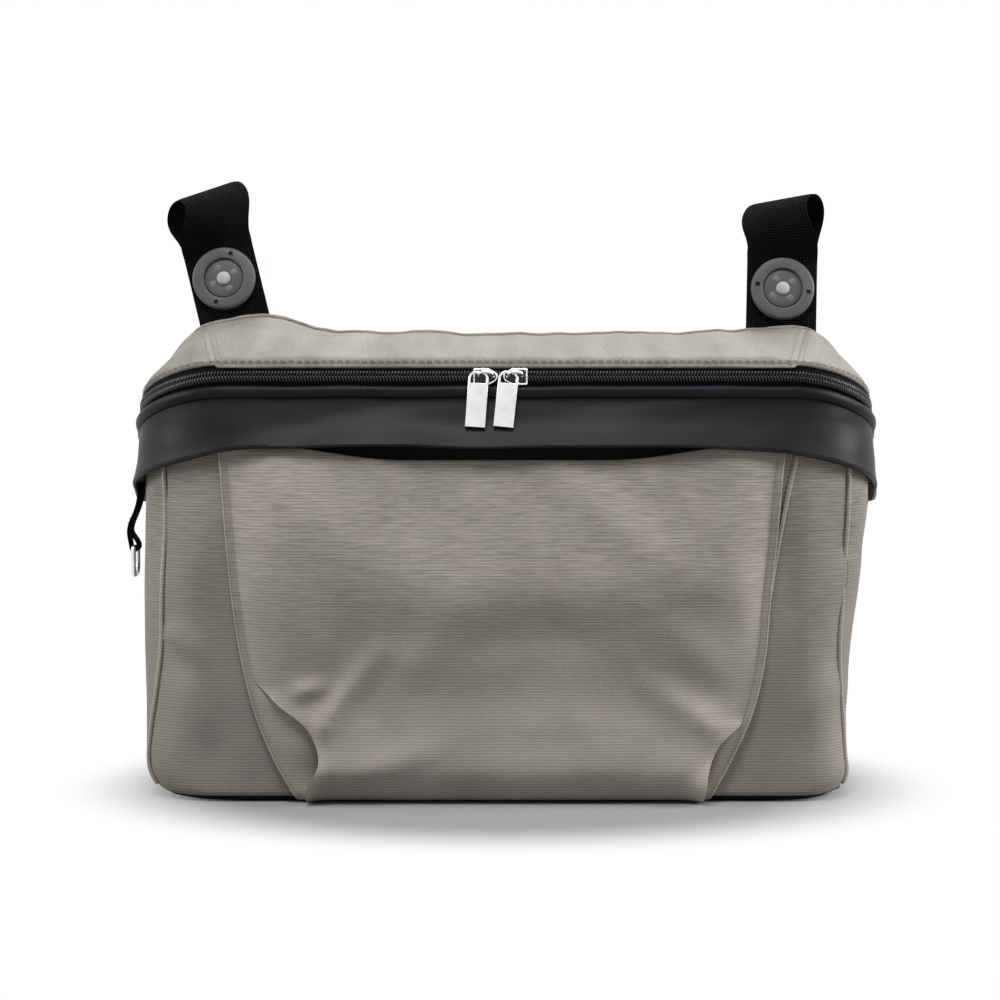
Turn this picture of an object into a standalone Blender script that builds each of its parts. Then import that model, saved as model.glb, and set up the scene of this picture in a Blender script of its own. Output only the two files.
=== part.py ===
"""Stroller organizer: a soft bag with a zipped lid, a dark cuff band, a bellows pocket and two snap loops.

Metres, +Z up. The front faces -Y, the base stands on Z = 0, and X = 0 is the middle of the bag.
The front and side walls follow one U-shaped plan outline. A station u runs along it:
0 at the left back corner, 1 to 2 round the left front corner, 3 at the middle of the front,
4 to 5 round the right front corner, and 6 at the right back corner.
"""

import math

import bmesh
import bpy
from mathutils import Matrix, Vector

# Clearance that neighbouring pieces keep
GAP = 0.0003

# Plan of the walls, at the base and at the zip
FRONT_Y = -0.062
BACK_Y = 0.062
FRONT_HALF_BASE = 0.180
FRONT_HALF_TOP = 0.182
BACK_HALF_BASE = 0.1855
BACK_HALF_TOP = 0.1905
CORNER_BASE = 0.030
CORNER_TOP = 0.048
SIDE_BULGE = 0.002
WALL_TOP_Z = 0.185

# Rounding of the walls into the base
SIDE_EDGE_ROUND = 0.017
FRONT_EDGE_ROUND = 0.006
ROUNDING_ROWS = (0.0055, 0.009, 0.013, 0.0185)
FLAT_WALL_Z = 0.045

# Sheet thicknesses
WALL = 0.0025
BASE_THICKNESS = 0.0028
BOARD_THICKNESS = 0.002
BOARD_INSET = 0.012
LINING_THICKNESS = 0.0008
LINING_CLEARANCE = 0.0007
LINING_BELOW_TAPE = 0.004
POCKET_THICKNESS = 0.0015
BAND_THICKNESS = 0.0014
TAPE_THICKNESS = 0.0006

# Stations of the wall's rows: along a side, round a front corner and across half of the front
SIDE_MARKS = (0.0, 0.17, 0.34, 0.5, 0.67, 0.84, 1.0)
CORNER_MARKS = (1.14, 1.28, 1.42, 1.56, 1.7, 1.78, 1.86, 1.93, 2.0)
FRONT_MARKS = (2.5, 3.0)

# Seam between the front panel and each side panel, as a station on the corner
SEAM_STATION = 1.5
SEAM_STATION_GAP = 0.008

# Zip line: level along the front, lower along the sides
ZIP_FRONT_Z = 0.211
ZIP_SIDE_DROP = 0.023
ZIP_DROP_STATIONS = 1.5
ZIP_END_LENGTH = 0.0067
TAPE_END_LENGTH = 0.0041
CHAIN_HALF_GAP = 0.0007
COIL_HEIGHT = 0.0029
COIL_OUT = 0.0014
COIL_IN = 0.0011
UPPER_TAPE_EDGE = 0.0046
LOWER_TAPE_EDGE = 0.0056

# Rounded binding under the zip
BINDING_TOP = 0.0045
BINDING_HEIGHT = 0.0062
BINDING_DEPTH = 0.004

# Cuff band
BAND_FRONT_LOW_Z = 0.1765
BAND_SIDE_DROP = 0.031
BAND_DROP_START = 2.4
BAND_DROP_STATIONS = 2.2
BAND_SIDE_FLARE = 0.0062
BAND_FRONT_FLARE = 0.013
BAND_FLARE_START = 1.7
BAND_FLARE_STATIONS = 0.9
BAND_CURL = 1.6

# Lid
LID_EDGE = UPPER_TAPE_EDGE + GAP
LID_BACK_Z = 0.2355
LID_CROWN = 0.003
LID_EDGE_RISE = 0.0035
LID_EDGE_ROLL = 0.004
LID_ROLL = 0.030
LID_HUMP = 0.0065
LID_HUMP_X = 0.150
LID_HUMP_WIDTH = 0.024
LID_SEAM_FRONT_X = 0.143
LID_SEAM_BACK_X = 0.164
LID_OUT = 0.0005
LID_GUSSET_TIP = 0.002
LID_GUSSET_SHARES = (0.0, 0.25, 0.45, 0.62, 0.76, 0.87, 0.94, 0.98, 1.0)

# Front pocket
POCKET_BELOW_BAND = 0.0065
POCKET_TOP_Z = BAND_FRONT_LOW_Z - POCKET_BELOW_BAND
POCKET_ROWS = (0.0, 0.02, 0.055, 0.1, 0.15, 0.195, 0.25, 0.31, 0.375, 0.46, 0.55, 0.64, 0.73, 0.82, 0.91, 1.0)
POCKET_BOTTOM_Z = 0.0035
POCKET_TOP_HALF = 0.135
POCKET_BOTTOM_HALF = 0.095
POCKET_CURVE = 2.6
POCKET_SHARES = (0.0, 0.2, 0.4, 0.55, 0.68, 0.76, 0.83, 0.89, 0.94, 0.975, 1.0)
POCKET_MOUTH_DEPTH = 0.010
POCKET_BELLY_DEPTH = 0.006
POCKET_BOTTOM_DEPTH = 0.004
TUCK_SHARE = 0.35
TUCK_TOP_Z = 0.063
TUCK_TOP_X = 0.125
TUCK_INNER_Z = 0.020
TUCK_INNER_X = 0.092
TUCK_SLOPE = 0.004

# Webbing loops
WEBBING_WIDTH = 0.038
WEBBING_THICKNESS = 0.0014
LOOP_OPENING = 0.026
LOOP_START = 0.0145
LOOP_TOP = 0.050
LAYER_GAP = 0.0006
STRAP_ANCHOR_LENGTH = 0.070
STRAP_TAIL_LENGTH = 0.028
STRAP_LEAN_BACK = math.radians(12)
STRAP_BEND = 0.008
LEFT_STRAP_INSET = 0.0410
LEFT_STRAP_X = LEFT_STRAP_INSET - BACK_HALF_TOP
LEFT_SNAP_Z = 0.2655
LEFT_STRAP_LEAN = math.radians(-16)
LEFT_STRAP_TWIST = math.radians(20)
LEFT_SNAP_HOLES = math.radians(75)
RIGHT_STRAP_INSET = 0.0415
RIGHT_STRAP_X = BACK_HALF_TOP - RIGHT_STRAP_INSET
RIGHT_SNAP_Z = 0.2610
RIGHT_STRAP_LEAN = math.radians(2)
RIGHT_STRAP_TWIST = math.radians(-18)
RIGHT_SNAP_HOLES = math.radians(171)

# Snaps
SNAP_RADIUS = 0.0172
SNAP_THICKNESS = 0.0042
SNAP_DISH_RADIUS = 0.0110
SNAP_DISH_DEPTH = 0.0016
SNAP_STUD_RADIUS = 0.0036
SNAP_HOLE_RADIUS = 0.0014
SNAP_HOLE_REACH = 0.0137
SNAP_CLEARANCE = 0.0007
SNAP_BACK_RADIUS = 0.0120
SNAP_BACK_THICKNESS = 0.0025

# Zip sliders and pulls
LEFT_SLIDER_X = -0.0101
RIGHT_SLIDER_X = 0.0046
SLIDER_LENGTH = 0.012
SLIDER_HALF_HEIGHT = 0.0041
SLIDER_PLATE = 0.0012
SLIDER_NOSE_HALF_HEIGHT = 0.0025
SLIDER_NOSE_LENGTH = 0.0039
SLIDER_POST = 0.0008
SLIDER_POST_LENGTH = 0.0026
SLIDER_POST_INSET = 0.0006
BAIL_LEG_X = 0.0033
BAIL_LEG = 0.0014
BAIL_RISE = 0.0042
BAIL_WIDTH = 0.0018
PULL_WIDTH = 0.0099
PULL_LENGTH = 0.0225
PULL_THICKNESS = 0.0012
PULL_RING_HEIGHT = 0.0065
PULL_RING_WIRE = 0.0013
PULL_TOP_RISE = 0.0026
PULL_CORNER = 0.0032
PULL_EYE_MARGIN = 0.0008
PULL_TILT = math.radians(-10.5)
LEFT_PULL_LEAN = math.radians(-4)
RIGHT_PULL_LEAN = math.radians(-6)

# Side tab and ring
TAB_Y = 0.004
TAB_WIDTH = 0.020
TAB_THICKNESS = 0.0011
TAB_TOP_Z = 0.157
TAB_CLEARANCE = 0.0006
TAB_FOLD_HEIGHT = 0.010
TAB_BULGE = 0.0012
RING_WIRE = 0.0024
RING_BAR_Z = 0.1235
RING_BAR_OUT = 0.0062
RING_INNER_WIDTH = 0.0225
RING_DROP = 0.0145
RING_BEND = 0.006


def clear_scene():
    for old in list(bpy.data.objects):
        bpy.data.objects.remove(old, do_unlink=True)


def make_material(name, colour, roughness, metallic=0.0):
    """A Principled material with a linear base colour."""
    material = bpy.data.materials.new(name)
    material.use_nodes = True
    shader = material.node_tree.nodes["Principled BSDF"]
    shader.inputs["Base Color"].default_value = (*colour, 1.0)
    shader.inputs["Roughness"].default_value = roughness
    shader.inputs["Metallic"].default_value = metallic
    return material


def lerp(a, b, t):
    return a + (b - a) * t


def smooth(t):
    """Smooth step from 0 to 1."""
    t = min(1.0, max(0.0, t))
    return t * t * (3.0 - 2.0 * t)


def spread(start, end, count):
    """count + 1 evenly spaced values from start to end."""
    return [lerp(start, end, i / count) for i in range(count + 1)]


def edge_tuck(z, radius):
    """How far a wall has rounded inward at height z."""
    if z >= radius:
        return 0.0
    return radius - math.sqrt(max(0.0, radius**2 - (radius - z) ** 2))


def wall_frame(u, z):
    """Plan point and outward direction of the wall at station u and height z."""
    if u > 3.0:
        point, out = wall_frame(6.0 - u, z)
        return Vector((-point.x, point.y)), Vector((-out.x, out.y))
    up = smooth(z / WALL_TOP_Z)
    side_tuck = edge_tuck(z, SIDE_EDGE_ROUND)
    front_y = FRONT_Y + edge_tuck(z, FRONT_EDGE_ROUND)
    back = Vector((-lerp(BACK_HALF_BASE, BACK_HALF_TOP, up) + side_tuck, BACK_Y))
    corner = Vector((-lerp(FRONT_HALF_BASE, FRONT_HALF_TOP, up) + side_tuck, front_y))
    radius = lerp(CORNER_BASE, CORNER_TOP, up)
    along_side = (back - corner).normalized()
    along_front = Vector((1.0, 0.0))
    half_angle = math.acos(along_side.dot(along_front)) / 2.0
    reach = radius / math.tan(half_angle)
    arc_start = corner + along_side * reach
    centre = arc_start + Vector((along_side.y, -along_side.x)) * radius
    side_out = (arc_start - centre).normalized()
    if u <= 1.0:
        bulge = SIDE_BULGE * (1.0 - math.cos(2.0 * math.pi * u)) / 2.0
        return back.lerp(arc_start, u) + side_out * bulge, side_out
    if u <= 2.0:
        start_angle = math.atan2(side_out.y, side_out.x) % (2.0 * math.pi)
        angle = lerp(start_angle, 1.5 * math.pi, u - 1.0)
        out = Vector((math.cos(angle), math.sin(angle)))
        return centre + out * radius, out
    front_start = corner + along_front * reach
    return Vector((front_start.x * (3.0 - u), front_y)), Vector((0.0, -1.0))


def wall_at(u, z, out=0.0):
    """Point on the wall at station u and height z, moved outward by out."""
    point, outward = wall_frame(u, z)
    point = point + outward * out
    return Vector((point.x, point.y, z))


def zip_drop(u):
    return ZIP_SIDE_DROP * smooth((2.0 - min(u, 6.0 - u)) / ZIP_DROP_STATIONS)


def zip_at(u, rise, out):
    """Point beside the zip line, rise above it and out from the wall."""
    point = wall_at(u, ZIP_FRONT_Z, out)
    point.z = ZIP_FRONT_Z - zip_drop(u) + rise
    return point


def stations(start, end):
    """Stations from start to end, closer together round the corners."""
    left = [*SIDE_MARKS, *CORNER_MARKS, *FRONT_MARKS]
    marks = left + [6.0 - mark for mark in reversed(left[:-1])]
    inside = [mark for mark in marks if start + 0.02 < mark < end - 0.02]
    return [start, *inside, end]


def finish_object(name, mesh_data, material, smooth_angle=40.0):
    """Faces pointing out, smooth shading and the material on a new object."""
    mesh = bmesh.new()
    mesh.from_mesh(mesh_data)
    bmesh.ops.triangulate(mesh, faces=mesh.faces[:])
    if mesh.calc_volume(signed=True) < 0.0:
        bmesh.ops.reverse_faces(mesh, faces=mesh.faces[:])
    mesh.to_mesh(mesh_data)
    mesh.free()
    mesh_data.materials.append(material)
    mesh_data.shade_smooth()
    mesh_data.set_sharp_from_angle(angle=math.radians(smooth_angle))
    new_object = bpy.data.objects.new(name, mesh_data)
    bpy.context.scene.collection.objects.link(new_object)
    return new_object


def add_mesh(name, points, faces, material, smooth_angle=40.0):
    mesh_data = bpy.data.meshes.new(name)
    mesh_data.from_pydata([tuple(point) for point in points], [], faces)
    return finish_object(name, mesh_data, material, smooth_angle)


def add_rings(name, rings, material, closed=False):
    """Closed loops of equal length, joined in order, with caps or joined end to start."""
    count = len(rings[0])
    points = [point for ring in rings for point in ring]
    faces = []
    spans = len(rings) if closed else len(rings) - 1
    for i in range(spans):
        first = i * count
        second = (i + 1) % len(rings) * count
        for j in range(count):
            k = (j + 1) % count
            faces.append((first + j, first + k, second + k, second + j))
    if not closed:
        faces.append(tuple(reversed(range(count))))
        faces.append(tuple(range(len(points) - count, len(points))))
    return add_mesh(name, points, faces, material)


def add_sheet(name, grid, thickness, material, back_limit=BACK_Y, edge_steps=None, seams=()):
    """A thick sheet: the outer face follows the grid, the inner face lies thickness behind it.

    edge_steps gives some grid places, as (row, column), another step from the outer to the inner face.
    seams lists columns whose edge is cut square in X, so that the next piece can lie beside it.
    """
    edge_steps = edge_steps or {}
    rows = len(grid)
    columns = len(grid[0])
    inner = []
    for i in range(rows):
        for j in range(columns):
            along = grid[min(i + 1, rows - 1)][j] - grid[max(i - 1, 0)][j]
            across = grid[i][min(j + 1, columns - 1)] - grid[i][max(j - 1, 0)]
            normal = across.cross(along).normalized()
            if j in seams:
                normal = Vector((0.0, normal.y, normal.z)).normalized()
            step = edge_steps.get((i, j), -normal * thickness)
            if j in seams:
                step = Vector((0.0, step.y, step.z))
            behind = grid[i][j] + step
            behind.y = min(behind.y, back_limit)
            inner.append(behind)
    points = [point for row in grid for point in row] + inner
    half = rows * columns
    faces = []
    for i in range(rows - 1):
        for j in range(columns - 1):
            a = i * columns + j
            b = a + 1
            c = a + columns + 1
            d = a + columns
            faces.append((a, b, c, d))
            faces.append((half + d, half + c, half + b, half + a))
    rim = list(range(columns))
    rim += [i * columns + columns - 1 for i in range(1, rows)]
    rim += [(rows - 1) * columns + j for j in range(columns - 2, -1, -1)]
    rim += [i * columns for i in range(rows - 2, 0, -1)]
    for k, a in enumerate(rim):
        b = rim[(k + 1) % len(rim)]
        faces.append((b, a, half + a, half + b))
    return add_mesh(name, points, faces, material)


def add_box(name, low, high):
    """A box between two corners, as a mesh object without a material."""
    mesh_data = bpy.data.meshes.new(name)
    mesh = bmesh.new()
    size = Vector(high) - Vector(low)
    middle = (Vector(high) + Vector(low)) / 2.0
    placing = Matrix.Translation(middle) @ Matrix.Diagonal((*size, 1.0))
    bmesh.ops.create_cube(mesh, size=1.0, matrix=placing)
    mesh.to_mesh(mesh_data)
    mesh.free()
    new_object = bpy.data.objects.new(name, mesh_data)
    bpy.context.scene.collection.objects.link(new_object)
    return new_object


def add_prism(name, outline, low_y, high_y):
    """An outline in X and Z, drawn out along Y, as a mesh object without a material."""
    mesh_data = bpy.data.meshes.new(name)
    mesh = bmesh.new()
    base = mesh.faces.new([mesh.verts.new((x, low_y, z)) for x, z in outline])
    drawn = bmesh.ops.extrude_face_region(mesh, geom=[base])
    moved = [item for item in drawn["geom"] if isinstance(item, bmesh.types.BMVert)]
    bmesh.ops.translate(mesh, vec=(0.0, high_y - low_y, 0.0), verts=moved)
    bmesh.ops.recalc_face_normals(mesh, faces=mesh.faces[:])
    mesh.to_mesh(mesh_data)
    mesh.free()
    new_object = bpy.data.objects.new(name, mesh_data)
    bpy.context.scene.collection.objects.link(new_object)
    return new_object


def add_disc(name, radius, low_y, high_y, sides=36, at=(0.0, 0.0)):
    outline = []
    for i in range(sides):
        angle = 2.0 * math.pi * i / sides
        outline.append((at[0] + radius * math.cos(angle), at[1] + radius * math.sin(angle)))
    return add_prism(name, outline, low_y, high_y)


def combine(base, operation, other):
    """Adds a Boolean with a hidden helper shape."""
    other.hide_render = True
    other.display_type = "WIRE"
    other.parent = base
    modifier = base.modifiers.new(f"{operation.lower()} {other.name}", "BOOLEAN")
    modifier.operation = operation
    modifier.solver = "EXACT"
    modifier.object = other


def add_rail(name, marks, section, material):
    """A solid along the walls. section gives the loop of points at one station."""
    return add_rings(name, [section(u) for u in marks], material)


def wall_heights(bottom):
    """Heights of the rows that follow the rounding into the base."""
    return [bottom, *[z for z in ROUNDING_ROWS if z > bottom + GAP]]


def wall_section(u, top, bottom, thickness):
    """Loop round a wall's section at station u, outer face first."""
    heights = [*wall_heights(bottom), *spread(FLAT_WALL_Z, top, 5)]
    outer = [wall_at(u, z) for z in heights]
    inner = [wall_at(u, z, -thickness) for z in reversed(heights)]
    return outer + inner


def wall_top(u):
    return ZIP_FRONT_Z - zip_drop(u) - LOWER_TAPE_EDGE - GAP


def walls_end_station():
    """Station where the walls stop, a gap in front of the back panel."""
    side_length = BACK_Y - wall_frame(1.0, ZIP_FRONT_Z)[0].y
    return (WALL + GAP) / side_length


def add_panel(name, start, end, material):
    bottom = BASE_THICKNESS + GAP

    def section(u):
        return wall_section(u, wall_top(u), bottom, WALL)

    return add_rail(name, stations(start, end), section, material)


def plan_loop(z, inset, back_y):
    """Closed plan loop at height z: the U of the walls, closed along the back."""
    side_length = BACK_Y - wall_frame(1.0, z)[0].y
    start = (BACK_Y - back_y) / side_length
    loop = [wall_at(u, z, -inset) for u in stations(start, 6.0 - start)]
    loop[0].y = back_y
    loop[-1].y = back_y
    return loop


def add_base_panel(material):
    rings = [plan_loop(z, 0.0, BACK_Y) for z in (0.0, BASE_THICKNESS)]
    return add_rings("base_panel", rings, material)


def add_base_board(material):
    low = BASE_THICKNESS + GAP
    inset = WALL + SIDE_EDGE_ROUND / 2.0
    back = BACK_Y - WALL - inset
    rings = [plan_loop(SIDE_EDGE_ROUND, inset, back) for _ in range(2)]
    for ring, z in zip(rings, (low, low + BOARD_THICKNESS)):
        for point in ring:
            point.z = z
    return add_rings("base_board", rings, material)


def lid_mid_z(y):
    """Height of the lid along its middle, rising from the zip to the back."""
    t = (y - FRONT_Y) / (BACK_Y - FRONT_Y)
    front_z = ZIP_FRONT_Z + LID_EDGE + LID_EDGE_RISE
    return lerp(front_z, LID_BACK_Z, t) + LID_CROWN * math.sin(math.pi * t)


def lid_row(u):
    """Half width, depth position and edge height of the lid at station u."""
    edge = zip_at(u, LID_EDGE, LID_OUT)
    return abs(edge.x), edge.y, edge.z


def lid_z(x, half, y, edge_z):
    inward = min(1.0, max(0.0, (half - abs(x)) / LID_ROLL))
    depth = (y - FRONT_Y) / (BACK_Y - FRONT_Y)
    hump = LID_HUMP * depth**2 * math.exp(-(((abs(x) - LID_HUMP_X) / LID_HUMP_WIDTH) ** 2))
    from_edge = max(0.0, min(half - abs(x), y - FRONT_Y))
    short = 1.0 - min(1.0, from_edge / LID_EDGE_ROLL)
    rim_z = edge_z + LID_EDGE_RISE * math.sqrt(1.0 - short**2)
    swell = lid_mid_z(y) + hump - edge_z - LID_EDGE_RISE
    return rim_z + swell * math.sin(math.pi / 2.0 * inward)


def lid_seam_x(y):
    return lerp(LID_SEAM_FRONT_X, LID_SEAM_BACK_X, (y - FRONT_Y) / (BACK_Y - FRONT_Y))


def lid_stations():
    return stations(walls_end_station(), 2.0)


def lid_grid(marks, low_end, high_end, shares):
    """Grid of the lid's outer face. The ends give the X limits of a row from its half width and depth."""
    grid = []
    for u in marks:
        half, y, edge_z = lid_row(u)
        low = low_end(half, y)
        high = high_end(half, y)
        across = [lerp(low, high, share) for share in shares]
        grid.append([Vector((x, y, lid_z(x, half, y, edge_z))) for x in across])
    return grid


def rim_steps(grid, marks, inward):
    """Level steps to the inner face for the places near the rim, so that it stays above the zip tape."""
    steps = {}
    for i, u in enumerate(marks):
        edge_z = lid_row(u)[2]
        for j, point in enumerate(grid[i]):
            if point.z < edge_z + WALL:
                steps[i, j] = inward(u) * WALL
    return steps


def add_lid(material):
    back_limit = BACK_Y - WALL - GAP
    marks = lid_stations()
    shares = spread(0.0, 1.0, 24)

    def panel_end(half, y):
        return min(half, lid_seam_x(y) - GAP)

    def backward(u):
        return Vector((0.0, 1.0, 0.0))

    grid = lid_grid(marks, panel_end, lambda h, y: -panel_end(h, y), shares)
    seam_columns = (0, len(shares) - 1)
    add_sheet("lid_panel", grid, WALL, material, back_limit, rim_steps(grid, marks, backward), seam_columns)

    side_marks = [u for u in marks if lid_row(u)[0] > lid_seam_x(lid_row(u)[1]) + LID_GUSSET_TIP]
    for name, side in (("lid_left_gusset", -1.0), ("lid_right_gusset", 1.0)):

        def inward(u):
            _, out = wall_frame(6.0 - u, ZIP_FRONT_Z)
            return Vector((-out.x * side, -out.y, 0.0))

        grid = lid_grid(side_marks, lambda h, y: lid_seam_x(y) + GAP, lambda h, y: h, LID_GUSSET_SHARES)
        for row in grid:
            for point in row:
                point.x *= side
            if side > 0.0:
                row.reverse()
        seam_column = 0 if side < 0.0 else len(LID_GUSSET_SHARES) - 1
        steps = rim_steps(grid, side_marks, inward)
        add_sheet(name, grid, WALL, material, back_limit, steps, (seam_column,))


def back_outline():
    """Outline of the back panel in X and Z: rounded base corners, flared sides, the lid's back profile."""
    right = []
    for z in [*wall_heights(BASE_THICKNESS + GAP), *spread(FLAT_WALL_Z, WALL_TOP_Z, 5)]:
        right.append((-wall_frame(0.0, z)[0].x, z))
    half, _, edge_z = lid_row(0.0)
    for x in [*spread(half, half - LID_ROLL, 6), *spread(half - LID_ROLL, 0.0, 13)[1:]]:
        right.append((x, lid_z(x, half, BACK_Y, edge_z)))
    left = [(-x, z) for x, z in reversed(right[:-1])]
    return right + left


def add_back_panel(material):
    panel = add_prism("back_panel", back_outline(), BACK_Y - WALL, BACK_Y)
    return finish_object_in_place(panel, material)


def finish_object_in_place(raw, material, smooth_angle=40.0):
    raw.data.materials.append(material)
    raw.data.shade_smooth()
    raw.data.set_sharp_from_angle(angle=math.radians(smooth_angle))
    return raw


def add_back_board(material):
    """Stiffener between the back panel and the lining."""
    narrower = 1.0 - BOARD_INSET / BACK_HALF_TOP
    outline = []
    for x, z in back_outline():
        outline.append((x * narrower, lerp(BOARD_INSET, LID_BACK_Z - BOARD_INSET, z / LID_BACK_Z)))
    high = BACK_Y - WALL - GAP
    board = add_prism("back_board", outline, high - BOARD_THICKNESS, high)
    return finish_object_in_place(board, material)


def add_lining(material):
    """Open-topped inner bag: rings down the outside, across the floor and up the inside."""
    inset = WALL + LINING_CLEARANCE
    back = BACK_Y - WALL - 2.0 * GAP - BOARD_THICKNESS
    floor_z = BASE_THICKNESS + BOARD_THICKNESS + 2.0 * GAP
    top_z = ZIP_FRONT_Z - ZIP_SIDE_DROP - LOWER_TAPE_EDGE - LINING_BELOW_TAPE
    heights = [*wall_heights(floor_z), *spread(FLAT_WALL_Z, top_z, 4)]
    outside = [plan_loop(z, inset, back) for z in heights]
    inner_inset = inset + LINING_THICKNESS
    inner_back = back - LINING_THICKNESS
    heights[0] = floor_z + LINING_THICKNESS
    inside = [plan_loop(z, inner_inset, inner_back) for z in reversed(heights)]
    return add_rings("lining", outside + inside, material)


def pocket_half(z):
    """Half width of the pocket, narrowing in a curve towards its bottom."""
    t = (z - POCKET_BOTTOM_Z) / (POCKET_TOP_Z - POCKET_BOTTOM_Z)
    return lerp(POCKET_BOTTOM_HALF, POCKET_TOP_HALF, 1.0 - (1.0 - t) ** POCKET_CURVE)


def tuck_x(z):
    """Where the tuck's fold lies at height z."""
    if z >= TUCK_INNER_Z:
        t = (z - TUCK_INNER_Z) / (TUCK_TOP_Z - TUCK_INNER_Z)
        return TUCK_INNER_X + (TUCK_TOP_X - TUCK_INNER_X) * t * t
    return TUCK_INNER_X + (TUCK_INNER_Z - z) / 2.0


def pocket_depth(x, z):
    """How far the pocket's outer face stands off the front panel."""
    t = (z - POCKET_BOTTOM_Z) / (POCKET_TOP_Z - POCKET_BOTTOM_Z)
    depth = lerp(POCKET_BOTTOM_DEPTH, POCKET_MOUTH_DEPTH, smooth(t * 3.0))
    depth += POCKET_BELLY_DEPTH * math.sin(math.pi * min(1.0, t * 1.05)) ** 0.8
    across = min(1.0, abs(x) / pocket_half(z))
    depth *= (1.0 - across**7) ** 0.5
    past_tuck = smooth((abs(x) - tuck_x(z)) / TUCK_SLOPE)
    depth *= lerp(1.0, TUCK_SHARE, past_tuck)
    return max(depth, POCKET_THICKNESS + GAP)


def add_front_pocket(material):
    shares = [-share for share in reversed(POCKET_SHARES[1:])] + list(POCKET_SHARES)
    heights = [lerp(POCKET_BOTTOM_Z, POCKET_TOP_Z, share) for share in POCKET_ROWS]
    grid = []
    for z in heights:
        face_y = FRONT_Y + edge_tuck(z, FRONT_EDGE_ROUND)
        row = []
        for share in shares:
            x = share * pocket_half(z)
            row.append(Vector((x, face_y - pocket_depth(x, z), z)))
        grid.append(row)
    add_sheet("front_pocket", grid, POCKET_THICKNESS, material)


def band_low_z(u):
    nearest = min(u, 6.0 - u)
    return BAND_FRONT_LOW_Z - BAND_SIDE_DROP * smooth((BAND_DROP_START - nearest) / BAND_DROP_STATIONS)


def band_flare(u):
    nearest = min(u, 6.0 - u)
    return lerp(BAND_SIDE_FLARE, BAND_FRONT_FLARE, smooth((nearest - BAND_FLARE_START) / BAND_FLARE_STATIONS))


def add_cuff_band(material):
    top_rise = -(BINDING_TOP + BINDING_HEIGHT + GAP)

    def section(u):
        top_z = ZIP_FRONT_Z - zip_drop(u) + top_rise
        low_z = band_low_z(u)
        steps = spread(0.0, 1.0, 5)
        outs = [GAP + (band_flare(u) - GAP) * t**BAND_CURL for t in steps]
        heights = [lerp(top_z, low_z, t) for t in steps]
        inner = [wall_at(u, z, out) for z, out in zip(heights, outs)]
        outer = [wall_at(u, z, out + BAND_THICKNESS) for z, out in zip(heights, outs)]
        return outer + list(reversed(inner))

    start = walls_end_station()
    return add_rail("cuff_band", stations(start, 6.0 - start), section, material)


def rounded_loop(u, low, high, inside, outside, corners=2, rounding=0.3):
    """Loop of a rounded section beside the zip line."""
    radius = min(high - low, outside - inside) * rounding
    loop = []
    quarter_turns = ((high, outside, 0.0), (high, inside, 90.0), (low, inside, 180.0), (low, outside, 270.0))
    for rise, out, start in quarter_turns:
        centre_rise = rise - radius if rise == high else rise + radius
        centre_out = out - radius if out == outside else out + radius
        for i in range(corners + 1):
            angle = math.radians(start + 90.0 * i / corners)
            loop.append(
                zip_at(u, centre_rise + radius * math.sin(angle), centre_out + radius * math.cos(angle))
            )
    return loop


def add_zip(tape_material, coil_material, binding_material, metal):
    side_length = BACK_Y - wall_frame(1.0, ZIP_FRONT_Z)[0].y
    start = TAPE_END_LENGTH / side_length
    marks = stations(start, 6.0 - start)
    coil_start = ZIP_END_LENGTH / side_length
    coil_marks = stations(coil_start, 6.0 - coil_start)
    coil_top = CHAIN_HALF_GAP + COIL_HEIGHT
    tape_out = -COIL_IN - GAP
    for name, low, high in (
        ("upper_zip_coil", CHAIN_HALF_GAP, coil_top),
        ("lower_zip_coil", -coil_top, -CHAIN_HALF_GAP),
    ):
        section = lambda u, a=low, b=high: rounded_loop(u, a, b, -COIL_IN, COIL_OUT)
        add_rail(name, coil_marks, section, coil_material)
    for name, low, high in (
        ("upper_zip_tape", CHAIN_HALF_GAP, UPPER_TAPE_EDGE),
        ("lower_zip_tape", -LOWER_TAPE_EDGE, -CHAIN_HALF_GAP),
    ):
        section = lambda u, a=low, b=high: [
            zip_at(u, b, tape_out),
            zip_at(u, b, tape_out - TAPE_THICKNESS),
            zip_at(u, a, tape_out - TAPE_THICKNESS),
            zip_at(u, a, tape_out),
        ]
        add_rail(name, marks, section, tape_material)
    binding_low = -BINDING_TOP - BINDING_HEIGHT
    section = lambda u: rounded_loop(u, binding_low, -BINDING_TOP, GAP, GAP + BINDING_DEPTH, 3)
    add_rail("zip_binding", marks, section, binding_material)
    stop_gap = GAP / side_length
    for name, flip in (("left_zip_stop", False), ("right_zip_stop", True)):
        ends = [start, coil_start - stop_gap]
        ends = [6.0 - u for u in ends] if flip else ends
        section = lambda u: rounded_loop(u, -coil_top, coil_top, -COIL_IN, COIL_OUT)
        add_rail(name, ends, section, metal)


def slider_frame_y():
    """Y of the zip's outer wall face along the straight front run."""
    return wall_at(3.0, ZIP_FRONT_Z).y


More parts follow.
